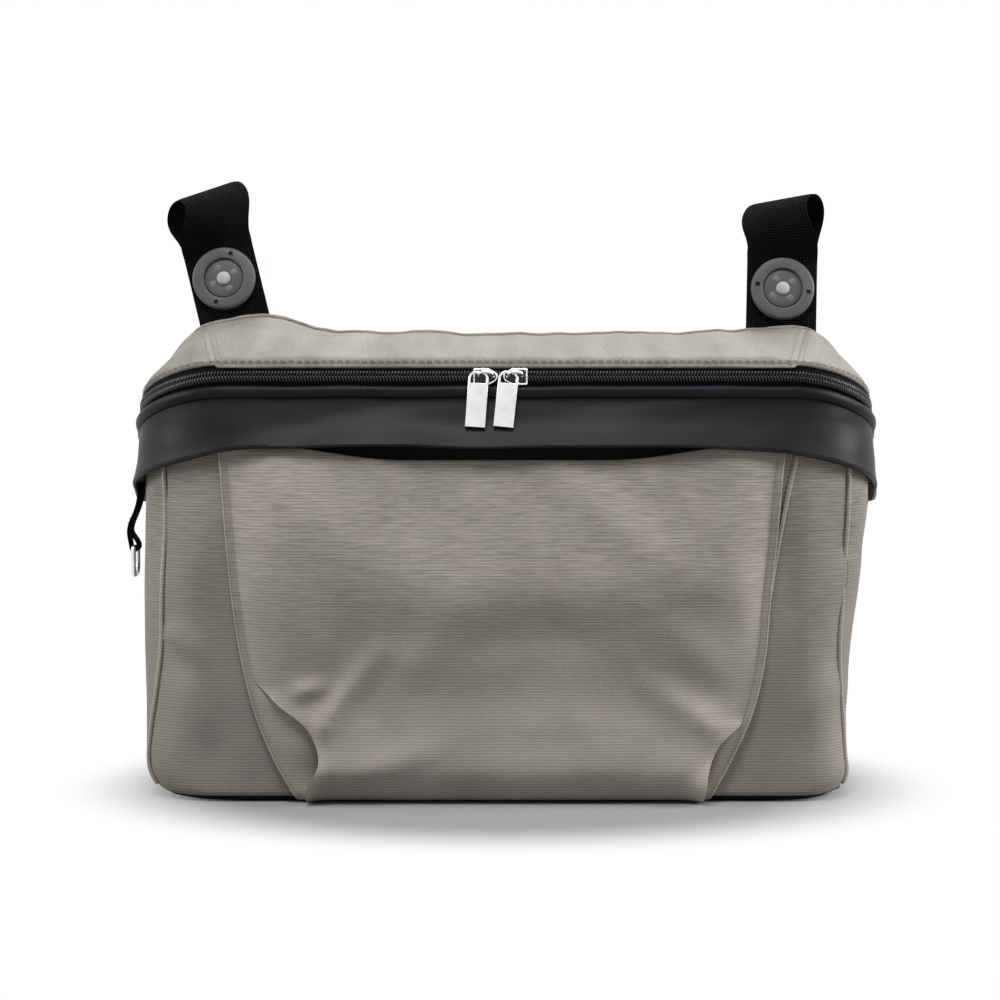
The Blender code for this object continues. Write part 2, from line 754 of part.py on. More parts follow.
def add_zip_slider(name, x, nose, metal):
    """Two plates joined by a thin post at the nose, with a bail on the outer plate."""
    half = SLIDER_LENGTH / 2.0
    tape_back = COIL_IN + GAP + TAPE_THICKNESS
    outer_low = COIL_OUT + GAP
    slim = SLIDER_NOSE_HALF_HEIGHT
    shoulder = half - SLIDER_NOSE_LENGTH
    outline = [
        (-half * nose, -SLIDER_HALF_HEIGHT),
        (-half * nose, SLIDER_HALF_HEIGHT),
        (shoulder * nose, SLIDER_HALF_HEIGHT),
        (half * nose, slim),
        (half * nose, -slim),
        (shoulder * nose, -SLIDER_HALF_HEIGHT),
    ]
    body = add_prism(name, outline, -outer_low - SLIDER_PLATE, -outer_low)
    inner_plate = add_prism(f"{name}_inner_plate", outline, tape_back + GAP, tape_back + GAP + SLIDER_PLATE)
    combine(body, "UNION", inner_plate)
    post_tip = half - SLIDER_POST_INSET
    post_heel = post_tip - SLIDER_POST_LENGTH
    post_low = (nose * post_heel, -outer_low - SLIDER_PLATE / 2.0, -SLIDER_POST / 2.0)
    post_high = (nose * post_tip, tape_back + GAP + SLIDER_PLATE / 2.0, SLIDER_POST / 2.0)
    corners = [sorted(pair) for pair in zip(post_low, post_high)]
    post = add_box(f"{name}_post", [c[0] for c in corners], [c[1] for c in corners])
    combine(body, "UNION", post)
    face = outer_low + SLIDER_PLATE
    leg_in = BAIL_LEG_X - BAIL_LEG / 2.0
    leg_out = BAIL_LEG_X + BAIL_LEG / 2.0
    bridge_low = BAIL_RISE - BAIL_LEG
    foot = -SLIDER_PLATE / 3.0
    arch = [
        (-leg_out, foot), (-leg_out, bridge_low), (-leg_in, BAIL_RISE),
        (leg_in, BAIL_RISE), (leg_out, bridge_low), (leg_out, foot),
        (leg_in, foot), (leg_in, bridge_low), (-leg_in, bridge_low), (-leg_in, foot),
    ]
    bail = add_prism(f"{name}_bail", arch, -BAIL_WIDTH / 2.0, BAIL_WIDTH / 2.0)
    bail.data.transform(Matrix.Translation((0.0, -face, 0.0)) @ Matrix.Rotation(math.radians(90), 4, "X"))
    combine(body, "UNION", bail)
    body.location = (x, slider_frame_y(), ZIP_FRONT_Z)
    return finish_object_in_place(body, metal)


def add_zip_pull(name, slider_x, lean, metal):
    """A flat plate whose ring end hangs on the left leg of the bail. Its origin is in the leg."""
    half = PULL_WIDTH / 2.0
    ring_top = PULL_TOP_RISE
    ring_low = ring_top - PULL_RING_HEIGHT
    outline = [(-half, ring_low - PULL_LENGTH), (half, ring_low - PULL_LENGTH), (half, ring_low)]
    corner = PULL_CORNER
    for i in range(5):
        angle = math.radians(90.0 * i / 4)
        outline.append(
            (half - corner + corner * math.cos(angle), ring_top - corner + corner * math.sin(angle))
        )
    for i in range(5):
        angle = math.radians(90.0 + 90.0 * i / 4)
        outline.append(
            (-half + corner + corner * math.cos(angle), ring_top - corner + corner * math.sin(angle))
        )
    outline.append((-half, ring_low))
    half_thick = PULL_THICKNESS / 2.0
    plate = add_prism(name, outline, -half_thick, half_thick)
    hole_half = half - PULL_RING_WIRE
    hole_top = ring_top - PULL_RING_WIRE
    hole_low = ring_low + PULL_EYE_MARGIN
    cut = PULL_CORNER - PULL_RING_WIRE
    hole = [
        (-hole_half, hole_low), (hole_half, hole_low), (hole_half, hole_top - cut),
        (hole_half - cut, hole_top), (-hole_half + cut, hole_top), (-hole_half, hole_top - cut),
    ]
    cutter = add_prism(f"{name}_eye", hole, -PULL_THICKNESS, PULL_THICKNESS)
    combine(plate, "DIFFERENCE", cutter)
    bridge_face = COIL_OUT + GAP + SLIDER_PLATE + BAIL_RISE - BAIL_LEG
    leg_y = slider_frame_y() - (bridge_face - 2.0 * GAP - half_thick)
    placing = Matrix.Translation((slider_x - BAIL_LEG_X, leg_y, ZIP_FRONT_Z))
    placing @= Matrix.Rotation(PULL_TILT, 4, "X") @ Matrix.Rotation(-lean, 4, "Y")
    plate.matrix_world = placing
    return finish_object_in_place(plate, metal)


def strap_path():
    """Centre line of a webbing loop, as (forward, up) from the snap: anchor, loop, then the front layer."""
    half_layer = (WEBBING_THICKNESS + LAYER_GAP) / 2.0
    half_open = LOOP_OPENING / 2.0
    turn_z = LOOP_TOP - half_open
    opening = [
        (lerp(half_layer, half_open, smooth(t)), lerp(LOOP_START, turn_z, t)) for t in spread(0.0, 1.0, 6)
    ]
    path = [(-half_layer, z) for z in spread(-STRAP_ANCHOR_LENGTH, LOOP_START, 8)[:-1]]
    path += [(-forward, up) for forward, up in opening]
    for angle in spread(math.pi, 0.0, 12)[1:-1]:
        path.append((half_open * math.cos(angle), turn_z + half_open * math.sin(angle)))
    path += list(reversed(opening))
    path += [(half_layer, z) for z in spread(LOOP_START, -STRAP_TAIL_LENGTH, 4)[1:]]
    return path


def lean_back(above):
    """How far the strap has leaned back, above its fixed tail."""
    if above < STRAP_BEND:
        return math.sin(STRAP_LEAN_BACK) * above**2 / (2.0 * STRAP_BEND)
    return math.sin(STRAP_LEAN_BACK) * (above - STRAP_BEND / 2.0)


def strap_place(across, forward, up, x, snap_z, lean, twist):
    """World position of a point of a strap: it leans back and sideways and twists above the snap."""
    loop = smooth((up - LOOP_START) / (LOOP_TOP - LOOP_START))
    turn = twist * loop
    turned_across = across * math.cos(turn) + forward * math.sin(turn)
    turned_forward = forward * math.cos(turn) - across * math.sin(turn)
    above = max(0.0, up + STRAP_TAIL_LENGTH)
    side_x = x + turned_across * math.cos(lean) + up * math.sin(lean)
    side_z = snap_z + up * math.cos(lean) - turned_across * math.sin(lean)
    seat_y = BACK_Y + GAP + WEBBING_THICKNESS * 1.5 + LAYER_GAP + GAP
    centre_y = seat_y - (WEBBING_THICKNESS + LAYER_GAP) / 2.0
    return Vector((side_x, centre_y - turned_forward + lean_back(above), side_z))


def add_strap(name, x, snap_z, lean, twist, material):
    """Webbing swept along its path as a ring of four corners for each point."""
    path = strap_path()
    half_width = WEBBING_WIDTH / 2.0
    half_thick = WEBBING_THICKNESS / 2.0
    rings = []
    for i, (forward, up) in enumerate(path):
        before = Vector(path[max(i - 1, 0)])
        after = Vector(path[min(i + 1, len(path) - 1)])
        run = (after - before).normalized()
        side = Vector((run.y, -run.x)) * half_thick
        ring = []
        for across, sign in ((-half_width, 1), (half_width, 1), (half_width, -1), (-half_width, -1)):
            ring.append(
                strap_place(across, forward + sign * side.x, up + sign * side.y, x, snap_z, lean, twist)
            )
        rings.append(ring)
    return add_rings(name, rings, material)


def snap_frame(x, snap_z, lean):
    """Placing matrix of a snap: local -Y is out of the strap's front face."""

    def on_strap(across, up):
        return strap_place(across, 0.0, up, x, snap_z, lean, 0.0)

    reach = SNAP_BACK_RADIUS / 2.0
    across = on_strap(reach, 0.0) - on_strap(-reach, 0.0)
    up = on_strap(0.0, reach) - on_strap(0.0, -reach)
    x_axis = across.normalized()
    y_axis = up.cross(across).normalized()
    z_axis = x_axis.cross(y_axis)
    placing = Matrix((x_axis, y_axis, z_axis)).transposed().to_4x4()
    placing.translation = on_strap(0.0, 0.0)
    return placing


def add_snap(side, placing, hole_angle, cap_material, back_material):
    """A ring-shaped cap with a dish, a stud and two spanner holes, and the half behind the strap."""
    layers = WEBBING_THICKNESS + LAYER_GAP / 2.0 + SNAP_CLEARANCE
    cap = add_disc(f"{side}_snap_cap", SNAP_RADIUS, -layers - SNAP_THICKNESS, -layers)
    face = -layers - SNAP_THICKNESS
    above = face - SNAP_DISH_DEPTH
    middle = -layers - SNAP_THICKNESS / 2.0
    dish = add_disc(f"{side}_snap_dish", SNAP_DISH_RADIUS, above, face + SNAP_DISH_DEPTH)
    combine(cap, "DIFFERENCE", dish)
    stud = add_disc(f"{side}_snap_stud", SNAP_STUD_RADIUS, face + GAP, middle, 20)
    combine(cap, "UNION", stud)
    for index, angle in enumerate((hole_angle, hole_angle + math.pi)):
        at = (SNAP_HOLE_REACH * math.cos(angle), SNAP_HOLE_REACH * math.sin(angle))
        hole = add_disc(f"{side}_snap_hole_{index}", SNAP_HOLE_RADIUS, above, middle, 12, at)
        combine(cap, "DIFFERENCE", hole)
    cap.matrix_world = placing
    finish_object_in_place(cap, cap_material)
    back = add_disc(f"{side}_snap_post", SNAP_BACK_RADIUS, layers, layers + SNAP_BACK_THICKNESS, 28)
    back.matrix_world = placing
    finish_object_in_place(back, back_material)


def tab_station(z):
    """Station of the left side wall at the tab's middle."""
    side_length = BACK_Y - wall_frame(1.0, z)[0].y
    return (BACK_Y - TAB_Y) / side_length


def tab_placing():
    """Frame of the tab: its origin under the wall at the ring's height, its -X out of the wall."""
    point, out = wall_frame(tab_station(RING_BAR_Z), RING_BAR_Z)
    turn = math.atan2(out.y, out.x) - math.pi
    return Matrix.Translation((point.x, point.y, 0.0)) @ Matrix.Rotation(turn, 4, "Z")


def tab_wall_x(z):
    """Local X of the left wall's outer face beside the tab."""
    wall = wall_at(tab_station(z), z)
    return (tab_placing().inverted() @ wall).x


def add_side_tab(material):
    """Webbing folded round the ring's bar and sewn together under the cuff band."""
    bar_x = -RING_BAR_OUT
    eye = RING_WIRE / 2.0 + GAP
    outer = eye + TAB_THICKNESS
    top_inner = tab_wall_x(TAB_TOP_Z) - TAB_CLEARANCE
    top_outer = top_inner - 2.0 * TAB_THICKNESS
    neck_z = RING_BAR_Z + TAB_FOLD_HEIGHT
    bulge = TAB_BULGE
    outline = [(top_outer, TAB_TOP_Z), (lerp(top_outer, bar_x - outer, 0.35), lerp(TAB_TOP_Z, neck_z, 0.5))]
    outline.append((bar_x - outer - bulge, neck_z))
    arc = [math.pi + math.pi * i / 8.0 for i in range(9)]
    outline += [(bar_x + outer * math.cos(a), RING_BAR_Z + outer * math.sin(a)) for a in arc]
    outline.append((bar_x + outer, neck_z - 2.0 * TAB_THICKNESS))
    outline.append((top_inner, lerp(TAB_TOP_Z, neck_z, 0.45)))
    outline.append((top_inner, TAB_TOP_Z))
    tab = add_prism("left_side_tab", outline, -TAB_WIDTH / 2.0, TAB_WIDTH / 2.0)
    slot = [(bar_x + eye * math.cos(a), RING_BAR_Z + eye * math.sin(a)) for a in arc]
    slot.append((bar_x + eye, neck_z - 3.0 * TAB_THICKNESS))
    slot.append((bar_x, neck_z + 3.0 * TAB_THICKNESS))
    slot.append((bar_x - eye - bulge / 2.0, neck_z - TAB_THICKNESS))
    cutter = add_prism("tab_fold_space", slot, -TAB_WIDTH, TAB_WIDTH)
    combine(tab, "DIFFERENCE", cutter)
    tab.matrix_world = tab_placing()
    return finish_object_in_place(tab, material)


def add_side_ring(metal):
    """A D shaped wire ring. Its straight bar lies in the tab's fold, along Y."""
    half = (RING_INNER_WIDTH + RING_WIRE) / 2.0
    bend = RING_BEND
    path = []
    for y, z, start in ((half - bend, -RING_DROP + bend, 0.0), (-half + bend, -RING_DROP + bend, -90.0)):
        for i in range(7):
            angle = math.radians(start - 90.0 * i / 6)
            path.append(Vector((0.0, y + bend * math.cos(angle), z + bend * math.sin(angle))))
    path += [Vector((0.0, -half, -0.001)), Vector((0.0, -half + 0.001, 0.0))]
    path += [Vector((0.0, half - 0.001, 0.0)), Vector((0.0, half, -0.001))]
    rings = []
    sides = 10
    for i, point in enumerate(path):
        run = (path[(i + 1) % len(path)] - path[i - 1]).normalized()
        inward = run.cross(Vector((1.0, 0.0, 0.0)))
        ring = []
        for k in range(sides):
            angle = 2.0 * math.pi * k / sides
            offset = Vector((1.0, 0.0, 0.0)) * math.cos(angle) + inward * math.sin(angle)
            ring.append(point + offset * (RING_WIRE / 2.0))
        rings.append(ring)
    ring_object = add_rings("side_ring", rings, metal, closed=True)
    ring_object.matrix_world = tab_placing() @ Matrix.Translation((-RING_BAR_OUT, 0.0, RING_BAR_Z))
    return ring_object


def build():
    clear_scene()
    canvas = make_material("grey beige canvas", (0.262, 0.230, 0.195), 0.80)
    lid_canvas = make_material("smooth lid canvas", (0.440, 0.400, 0.340), 0.70)
    cuff = make_material("dark cuff", (0.047, 0.043, 0.048), 0.50)
    black_cloth = make_material("black cloth", (0.014, 0.013, 0.017), 0.85)
    webbing = make_material("black webbing", (0.008, 0.008, 0.010), 0.90)
    coil = make_material("black coil", (0.016, 0.015, 0.019), 0.45)
    board = make_material("stiffener board", (0.060, 0.060, 0.065), 0.60)
    grey_plastic = make_material("grey snap", (0.150, 0.150, 0.160), 0.45)
    polished = make_material("polished metal", (0.800, 0.800, 0.810), 0.15, 1.0)

    seam = SEAM_STATION
    end = walls_end_station()
    add_panel("left_side_panel", end, seam - SEAM_STATION_GAP, canvas)
    add_panel("front_panel", seam, 6.0 - seam, canvas)
    add_panel("right_side_panel", 6.0 - seam + SEAM_STATION_GAP, 6.0 - end, canvas)
    add_back_panel(canvas)
    add_base_panel(black_cloth)
    add_base_board(board)
    add_back_board(board)
    add_lining(black_cloth)
    add_lid(lid_canvas)
    add_front_pocket(canvas)
    add_cuff_band(cuff)
    add_zip(black_cloth, coil, black_cloth, polished)

    add_zip_slider("left_zip_slider", LEFT_SLIDER_X, 1.0, polished)
    add_zip_slider("right_zip_slider", RIGHT_SLIDER_X, -1.0, polished)
    add_zip_pull("left_zip_pull", LEFT_SLIDER_X, LEFT_PULL_LEAN, polished)
    add_zip_pull("right_zip_pull", RIGHT_SLIDER_X, RIGHT_PULL_LEAN, polished)

    straps = (
        ("left", LEFT_STRAP_X, LEFT_SNAP_Z, LEFT_STRAP_LEAN, LEFT_STRAP_TWIST, LEFT_SNAP_HOLES),
        ("right", RIGHT_STRAP_X, RIGHT_SNAP_Z, RIGHT_STRAP_LEAN, RIGHT_STRAP_TWIST, RIGHT_SNAP_HOLES),
    )
    for side, x, snap_z, lean, twist, hole_angle in straps:
        add_strap(f"{side}_strap", x, snap_z, lean, twist, webbing)
        add_snap(side, snap_frame(x, snap_z, lean), hole_angle, grey_plastic, grey_plastic)

    add_side_tab(webbing)
    add_side_ring(polished)


build()
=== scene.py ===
"""Looks of the stroller organizer: cloth shells, stitching, zip, webbing, metal, floor, light and camera."""

import math

import bpy
from mathutils import Matrix, Vector, noise

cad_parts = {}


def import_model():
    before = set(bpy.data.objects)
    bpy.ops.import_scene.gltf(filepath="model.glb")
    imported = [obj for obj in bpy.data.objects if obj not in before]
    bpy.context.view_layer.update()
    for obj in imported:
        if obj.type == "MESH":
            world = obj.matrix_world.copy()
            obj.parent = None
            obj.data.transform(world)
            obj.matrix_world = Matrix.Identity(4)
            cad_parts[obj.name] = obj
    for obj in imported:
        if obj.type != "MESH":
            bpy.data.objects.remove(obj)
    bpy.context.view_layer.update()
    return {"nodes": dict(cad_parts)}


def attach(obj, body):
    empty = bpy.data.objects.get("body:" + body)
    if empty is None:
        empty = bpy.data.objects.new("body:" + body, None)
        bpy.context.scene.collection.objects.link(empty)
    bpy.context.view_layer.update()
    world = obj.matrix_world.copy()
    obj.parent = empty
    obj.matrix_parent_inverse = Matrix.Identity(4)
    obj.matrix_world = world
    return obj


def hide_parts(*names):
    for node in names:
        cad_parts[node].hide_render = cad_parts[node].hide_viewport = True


FORWARD = Vector((0.0, -1.0, 0.0))

# Body, the same sizes as the CAD solids
GAP = 0.0003
FRONT_Y = -0.062
BACK_Y = 0.062
FRONT_HALF_BASE = 0.180
FRONT_HALF_TOP = 0.182
BACK_HALF_BASE = 0.1855
BACK_HALF_TOP = 0.1905
CORNER_BASE = 0.030
CORNER_TOP = 0.048
SIDE_BULGE = 0.002
WALL_TOP_Z = 0.185
SIDE_EDGE_ROUND = 0.017
FRONT_EDGE_ROUND = 0.006
WALL = 0.0025
BASE_THICKNESS = 0.0028
SEAM_STATION = 1.5
SEAM_LEAN = 0.24
SEAM_LEAN_TOP = 0.085
SEAM_LEAN_STATIONS = 0.9
SEAM_FOOT = 0.0035
SEAM_UNDER_BAND = 0.008
SEAM_RISE = 0.0007
SEAM_RADIUS = 0.0011

# Zip line
ZIP_FRONT_Z = 0.211
ZIP_SIDE_DROP = 0.023
ZIP_DROP_STATIONS = 1.5
LOWER_TAPE_EDGE = 0.0056
UPPER_TAPE_EDGE = 0.0046
BINDING_TOP = 0.0045
BINDING_HEIGHT = 0.0062
BINDING_DEPTH = 0.004
TAPE_THICKNESS = 0.0006
COIL_PITCH = 0.00155
COIL_WIRE = 0.00062

# One link of the zip's chain: how far up it is, its width share and how far it stands off
COIL_LINK = (
    (-0.0007, 0.55, 0.0), (0.0, 1.0, 0.0006), (0.0013, 1.0, 0.0008), (0.0025, 0.95, 0.0005),
    (0.0031, 0.5, -0.0004),
)

# Cuff band
BAND_FRONT_LOW_Z = 0.1780
BAND_MIDDLE_Z = 0.18
BAND_SIDE_DROP = 0.031
BAND_DROP_START = 2.4
BAND_DROP_STATIONS = 2.2
BAND_SIDE_FLARE = 0.0044
BAND_FRONT_FLARE = 0.013
BAND_FLARE_START = 1.7
BAND_FLARE_STATIONS = 0.9
BAND_CURL = 1.6
BAND_THICKNESS = 0.0014

# Lid
LID_LIFT = 0.0008
LID_EDGE = UPPER_TAPE_EDGE + GAP + LID_LIFT
LID_BACK_Z = 0.2355
LID_CROWN = 0.003
LID_EDGE_RISE = 0.0035
LID_EDGE_ROLL = 0.004
LID_ROLL = 0.030
LID_SEAM_FRONT_X = 0.143
LID_SEAM_BACK_X = 0.164
LID_SEAM_GAP = 0.00003
LID_OUT = 0.0005
LID_BACK_STATION = 0.026

# Humps of the lid beside the straps: middle, width and height
LID_HUMPS = ((-0.133, 0.031, 0.0095), (0.150, 0.024, 0.0020))

# Right side of the body, slacker than the left
RIGHT_SLACK = 0.0065
RIGHT_SLACK_TOP = 0.150

# Pocket
POCKET_TOP_Z = 0.170
POCKET_LOW_Z = 0.0008
POCKET_TOP_HALF = 0.135

# The pocket's sewn edges: height and distance from the middle
POCKET_EDGES = {
    -1.0: (
        (-0.002, 0.1015), (0.003, 0.1040), (0.0225, 0.1147), (0.045, 0.1236),
        (0.071, 0.1300), (0.101, 0.1345), (0.137, 0.1380), (0.172, 0.1410),
    ),
    1.0: (
        (-0.002, 0.0990), (0.003, 0.1012), (0.0225, 0.1115), (0.045, 0.1213),
        (0.071, 0.1272), (0.101, 0.1298), (0.137, 0.1335), (0.172, 0.1370),
    ),
}
POCKET_SWELL = (
    (-0.002, 0.0030), (0.008, 0.0100), (0.018, 0.0138), (0.035, 0.0115), (0.055, 0.0092),
    (0.080, 0.0130), (0.105, 0.0178), (0.125, 0.0165), (0.150, 0.0112), (0.172, 0.0066),
)
# A black sheet on the front wall above the pocket's mouth, behind the band: painted shade, standing in for
# the shade under the band.
MOUTH_STRIP_HALF = 0.128
MOUTH_STRIP_OUT = 0.0034
MOUTH_STRIP_Z = (0.160, 0.1815)
MOUTH_END_RISE = 0.0078

# The pocket's turned edge: outward from the sewn line, and off the wall
POCKET_HEM = ((0.0011, -0.0014), (0.0010, 0.0028), (0.0003, 0.0039), (-0.0009, 0.0037))

# The pocket's turned-in mouth: up, and back towards the wall
MOUTH_TURN = ((0.0004, 0.0006), (-0.0006, 0.0012), (-0.008, 0.0014))

# Steps of the pocket's face inward from the fold
FACE_STEPS = (0.0008, 0.0020, 0.0036, 0.0056, 0.0082, 0.0112, 0.0150, 0.0200)

# Tucks at the pocket's lower corners: height and distance from the middle along the fold
LEFT_FOLD = (
    (-0.002, 0.0985), (0.008, 0.0985), (0.020, 0.0925), (0.0295, 0.0940), (0.039, 0.0995),
    (0.049, 0.112), (0.063, 0.126),
)
RIGHT_FOLD = (
    (-0.002, 0.0975), (0.0048, 0.0982), (0.0175, 0.1000), (0.030, 0.1060), (0.040, 0.1170),
    (0.047, 0.1240), (0.060, 0.130),
)
TUCKS = {
    -1.0: {"fold": LEFT_FOLD, "top_z": 0.062, "under": 0.0130, "mouth_z": 0.014, "mouth": 0.0100},
    1.0: {"fold": RIGHT_FOLD, "top_z": 0.045, "under": 0.0070, "mouth_z": 0.011, "mouth": 0.0080},
}

# Second welt line on the front wall, right of the pocket, as x and z
WELT = (
    (0.1430, 0.172), (0.1405, 0.160), (0.1365, 0.140), (0.1318, 0.113), (0.1285, 0.092), (0.1268, 0.083),
)

# Cloth unevenness: size of the hills in X, Y and Z, height and seed
WALL_HILLS = (((0.050, 0.050, 0.065), 0.0026, 3.1), ((0.022, 0.022, 0.038), 0.0010, 9.4))
POCKET_HILLS = (((0.055, 1.0, 0.050), 0.0026, 7.7), ((0.022, 1.0, 0.026), 0.0008, 3.2))
LID_WIDE_HILLS = ((0.032, 0.09, 1.0), 0.0022, 5.3)
LID_FINE_HILLS = ((0.010, 0.05, 1.0), 0.0009, 1.7)
BACK_HILLS = ((0.07, 1.0, 0.07), 0.0012, 2.2)
LINING_HILLS = ((0.03, 0.03, 0.05), 0.0010, 12.5)
BAND_EDGE_HILLS = ((0.04, 0.05, 1.0), 0.0016, 4.4)
BAND_DENTS = ((0.03, 0.05, 0.012), 0.0009, 6.6)
BINDING_HILLS = ((0.03, 0.03, 0.03), 0.0004, 8.1)

# Straps and snaps: the CAD path, with each loop moved up to 3.7 mm and twisted further, as photographed
WEBBING_WIDTH = 0.038
WEBBING_THICKNESS = 0.0014
LOOP_OPENING = 0.026
LOOP_START = 0.0145
LOOP_TOP = 0.050
LAYER_GAP = 0.0006
STRAP_ANCHOR_LENGTH = 0.070
STRAP_TAIL_LENGTH = 0.028
STRAP_LEAN_BACK = math.radians(12)
STRAP_BEND = 0.008
LOOP_TILT = 0.17

# Corners of the box stitch at a strap's foot, as across and up from the snap
STRAP_BOX = ((-0.014, -0.066), (0.014, -0.066), (0.014, -0.042), (-0.014, -0.042))
STRAPS = {
    "left": {
        "x": -0.1530, "z": 0.2645,
        "lean": math.radians(-14.5), "twist": math.radians(38), "holes": math.radians(60),
    },
    "right": {
        "x": 0.1503, "z": 0.2590,
        "lean": math.radians(2), "twist": math.radians(-35), "holes": math.radians(173),
    },
}

# Camera, fitted to the photo: a picture of 1000 by 1000 pixels
CAMERA_DISTANCE = 1.2285
CAMERA_ELEVATION = math.radians(4.0)
CAMERA_TARGET = Vector((0.0, 0.0, 0.1134))
LENS_MM = 85.0
SENSOR_MM = 36.0
TARGET_PIXEL_X = 506.0
TARGET_PIXEL_Y = 566.0
PICTURE_SIZE = 1000.0

# Floor, world and lamps
WHITE = (1.0, 1.0, 1.0, 1.0)
SKY = (0.95, 0.97, 1.0, 1.0)
SKY_STRENGTH = 0.20
FLOOR_HALF = 6.0
# The camera sees the grey floor only inside an oval round the object, and white beyond it: the grey oval is a
# painted shadow, in which the object's cast shadow also falls.
FLOOR_COLOUR = (0.28, 0.28, 0.28)
SHADOW_OVAL = (1.0, 1.15, 1.0)
SHADOW_FADE = (0.145, 0.235)
LAMP_SIZE = 0.7
LAMPS = (
    ("left box", (-1.50, -0.30, 0.80), (0.0, 0.0, 0.12), 12.0),
    ("right box", (1.50, -0.12, 0.80), (0.0, 0.0, 0.12), 22.0),
    ("front", (-0.15, -0.95, 1.90), (0.0, 0.0, 0.12), 24.0),
    ("back", (0.1, 1.00, 1.50), (0.0, -0.1, 0.0), 11.0),
)


def lerp(a, b, t):
    return a + (b - a) * t


def smooth(t):
    """Smooth step from 0 to 1."""
    t = min(1.0, max(0.0, t))
    return t * t * (3.0 - 2.0 * t)


def spread(start, end, count):
    """count + 1 evenly spaced values from start to end."""
    return [lerp(start, end, i / count) for i in range(count + 1)]


def turn_angles(count):
    """Angles of evenly spaced points round a circle."""
    return [2.0 * math.pi * k / count for k in range(count)]


def edge_tuck(z, radius):
    """How far a rounded lower edge lies inward at height z."""
    if z >= radius:
        return 0.0
    return radius - math.sqrt(max(0.0, radius**2 - (radius - z) ** 2))


def ripple(point, size, height, seed=0.0):
    """Smooth unevenness of cloth at a place, with hills about as long as size in X, Y and Z."""
    place = Vector((point.x / size[0] + seed, point.y / size[1], point.z / size[2] - seed))
    return height * noise.noise(place)


def uneven(point, hills):
    """Sum of the ripples of one cloth."""
    return sum(ripple(point, *hill) for hill in hills)


# Shape of the walls
# Station u runs from the left back corner (0) round the front (3) to the right back corner (6)


def wall_frame(u, z):
    """Plan point and outward direction of the wall at station u and height z."""
    if u > 3.0:
        point, out = wall_frame(6.0 - u, z)
        slack = RIGHT_SLACK * smooth((u - 4.0) / 0.9) * smooth((RIGHT_SLACK_TOP - z) / 0.09)
        return Vector((-point.x - slack, point.y)), Vector((-out.x, out.y))
    up = smooth(z / WALL_TOP_Z)
    side_tuck = edge_tuck(z, SIDE_EDGE_ROUND)
    front_y = FRONT_Y + edge_tuck(z, FRONT_EDGE_ROUND)
    back = Vector((-lerp(BACK_HALF_BASE, BACK_HALF_TOP, up) + side_tuck, BACK_Y))
    corner = Vector((-lerp(FRONT_HALF_BASE, FRONT_HALF_TOP, up) + side_tuck, front_y))
    radius = lerp(CORNER_BASE, CORNER_TOP, up)
    along_side = (back - corner).normalized()
    along_front = Vector((1.0, 0.0))
    half_angle = math.acos(along_side.dot(along_front)) / 2.0
    reach = radius / math.tan(half_angle)
    arc_start = corner + along_side * reach
    centre = arc_start + Vector((along_side.y, -along_side.x)) * radius
    side_out = (arc_start - centre).normalized()
    if u <= 1.0:
        bulge = SIDE_BULGE * (1.0 - math.cos(2.0 * math.pi * u)) / 2.0
        return back.lerp(arc_start, u) + side_out * bulge, side_out
    if u <= 2.0:
        start_angle = math.atan2(side_out.y, side_out.x) % (2.0 * math.pi)
        angle = lerp(start_angle, 1.5 * math.pi, u - 1.0)
        out = Vector((math.cos(angle), math.sin(angle)))
        return centre + out * radius, out
    front_start = corner + along_front * reach
    return Vector((front_start.x * (3.0 - u), front_y)), Vector((0.0, -1.0))


def wall_at(u, z, out=0.0):
    """Point on the wall at station u and height z, moved outward by out."""
    point, outward = wall_frame(u, z)
    point = point + outward * out
    return Vector((point.x, point.y, z))


def outward_at(u, z):
    """Level direction out of the wall."""
    _, out = wall_frame(u, z)
    return Vector((out.x, out.y, 0.0))


def zip_drop(u):
    """How far the zip line has sunk at station u."""
    return ZIP_SIDE_DROP * smooth((2.0 - min(u, 6.0 - u)) / ZIP_DROP_STATIONS)


def zip_at(u, rise, out):
    """Point beside the zip line, rise above it and out from the wall."""
    point = wall_at(u, ZIP_FRONT_Z, out)
    point.z = ZIP_FRONT_Z - zip_drop(u) + rise
    return point


def side_stations(start, end, per_unit):
    """Stations with an even count for each unit, finer on the corners."""
    marks = [start]
    u = start
    while u < end - 1e-6:
        nearest = min(u, 6.0 - u)
        step = 1.0 / per_unit if nearest < 2.0 else 0.25 / per_unit
        u = min(end, u + step)
        marks.append(u)
    return marks


# Mesh builders


def add_object(name, data):
    made = bpy.data.objects.new(name, data)
    bpy.context.scene.collection.objects.link(made)
    return made


def finish_mesh(name, points, faces, material, uvs=None):
    """An object from points and faces, smooth but for its sharp edges."""
    mesh = bpy.data.meshes.new(name)
    mesh.from_pydata([tuple(point) for point in points], [], faces)
    if uvs:
        layer = mesh.uv_layers.new(name="cloth")
        for loop in mesh.loops:
            layer.data[loop.index].uv = uvs[loop.vertex_index]
    mesh.materials.append(material)
    mesh.shade_smooth()
    mesh.set_sharp_from_angle(angle=math.radians(50))
    return add_object(name, mesh)


def add_grid(name, rows, material, thickness=0.0, levels=0):
    """A sheet through rows of points, with its lengths in metres as UVs. across x up is the outer side."""
    count = len(rows[0])
    points = [point for row in rows for point in row]
    faces = []
    for i in range(len(rows) - 1):
        for j in range(count - 1):
            a = i * count + j
            faces.append((a, a + 1, a + count + 1, a + count))
    middle = count // 2
    uvs = []
    up = 0.0
    for i, row in enumerate(rows):
        if i:
            up += (row[middle] - rows[i - 1][middle]).length
        across = 0.0
        for j, point in enumerate(row):
            if j:
                across += (point - row[j - 1]).length
            uvs.append((across, up))
    made = finish_mesh(name, points, faces, material, uvs)
    if levels:
        rounder = made.modifiers.new("rounder", "SUBSURF")
        rounder.levels = levels
        rounder.render_levels = levels
    if thickness:
        solid = made.modifiers.new("thickness", "SOLIDIFY")
        solid.thickness = thickness
        solid.offset = -1.0
    return made


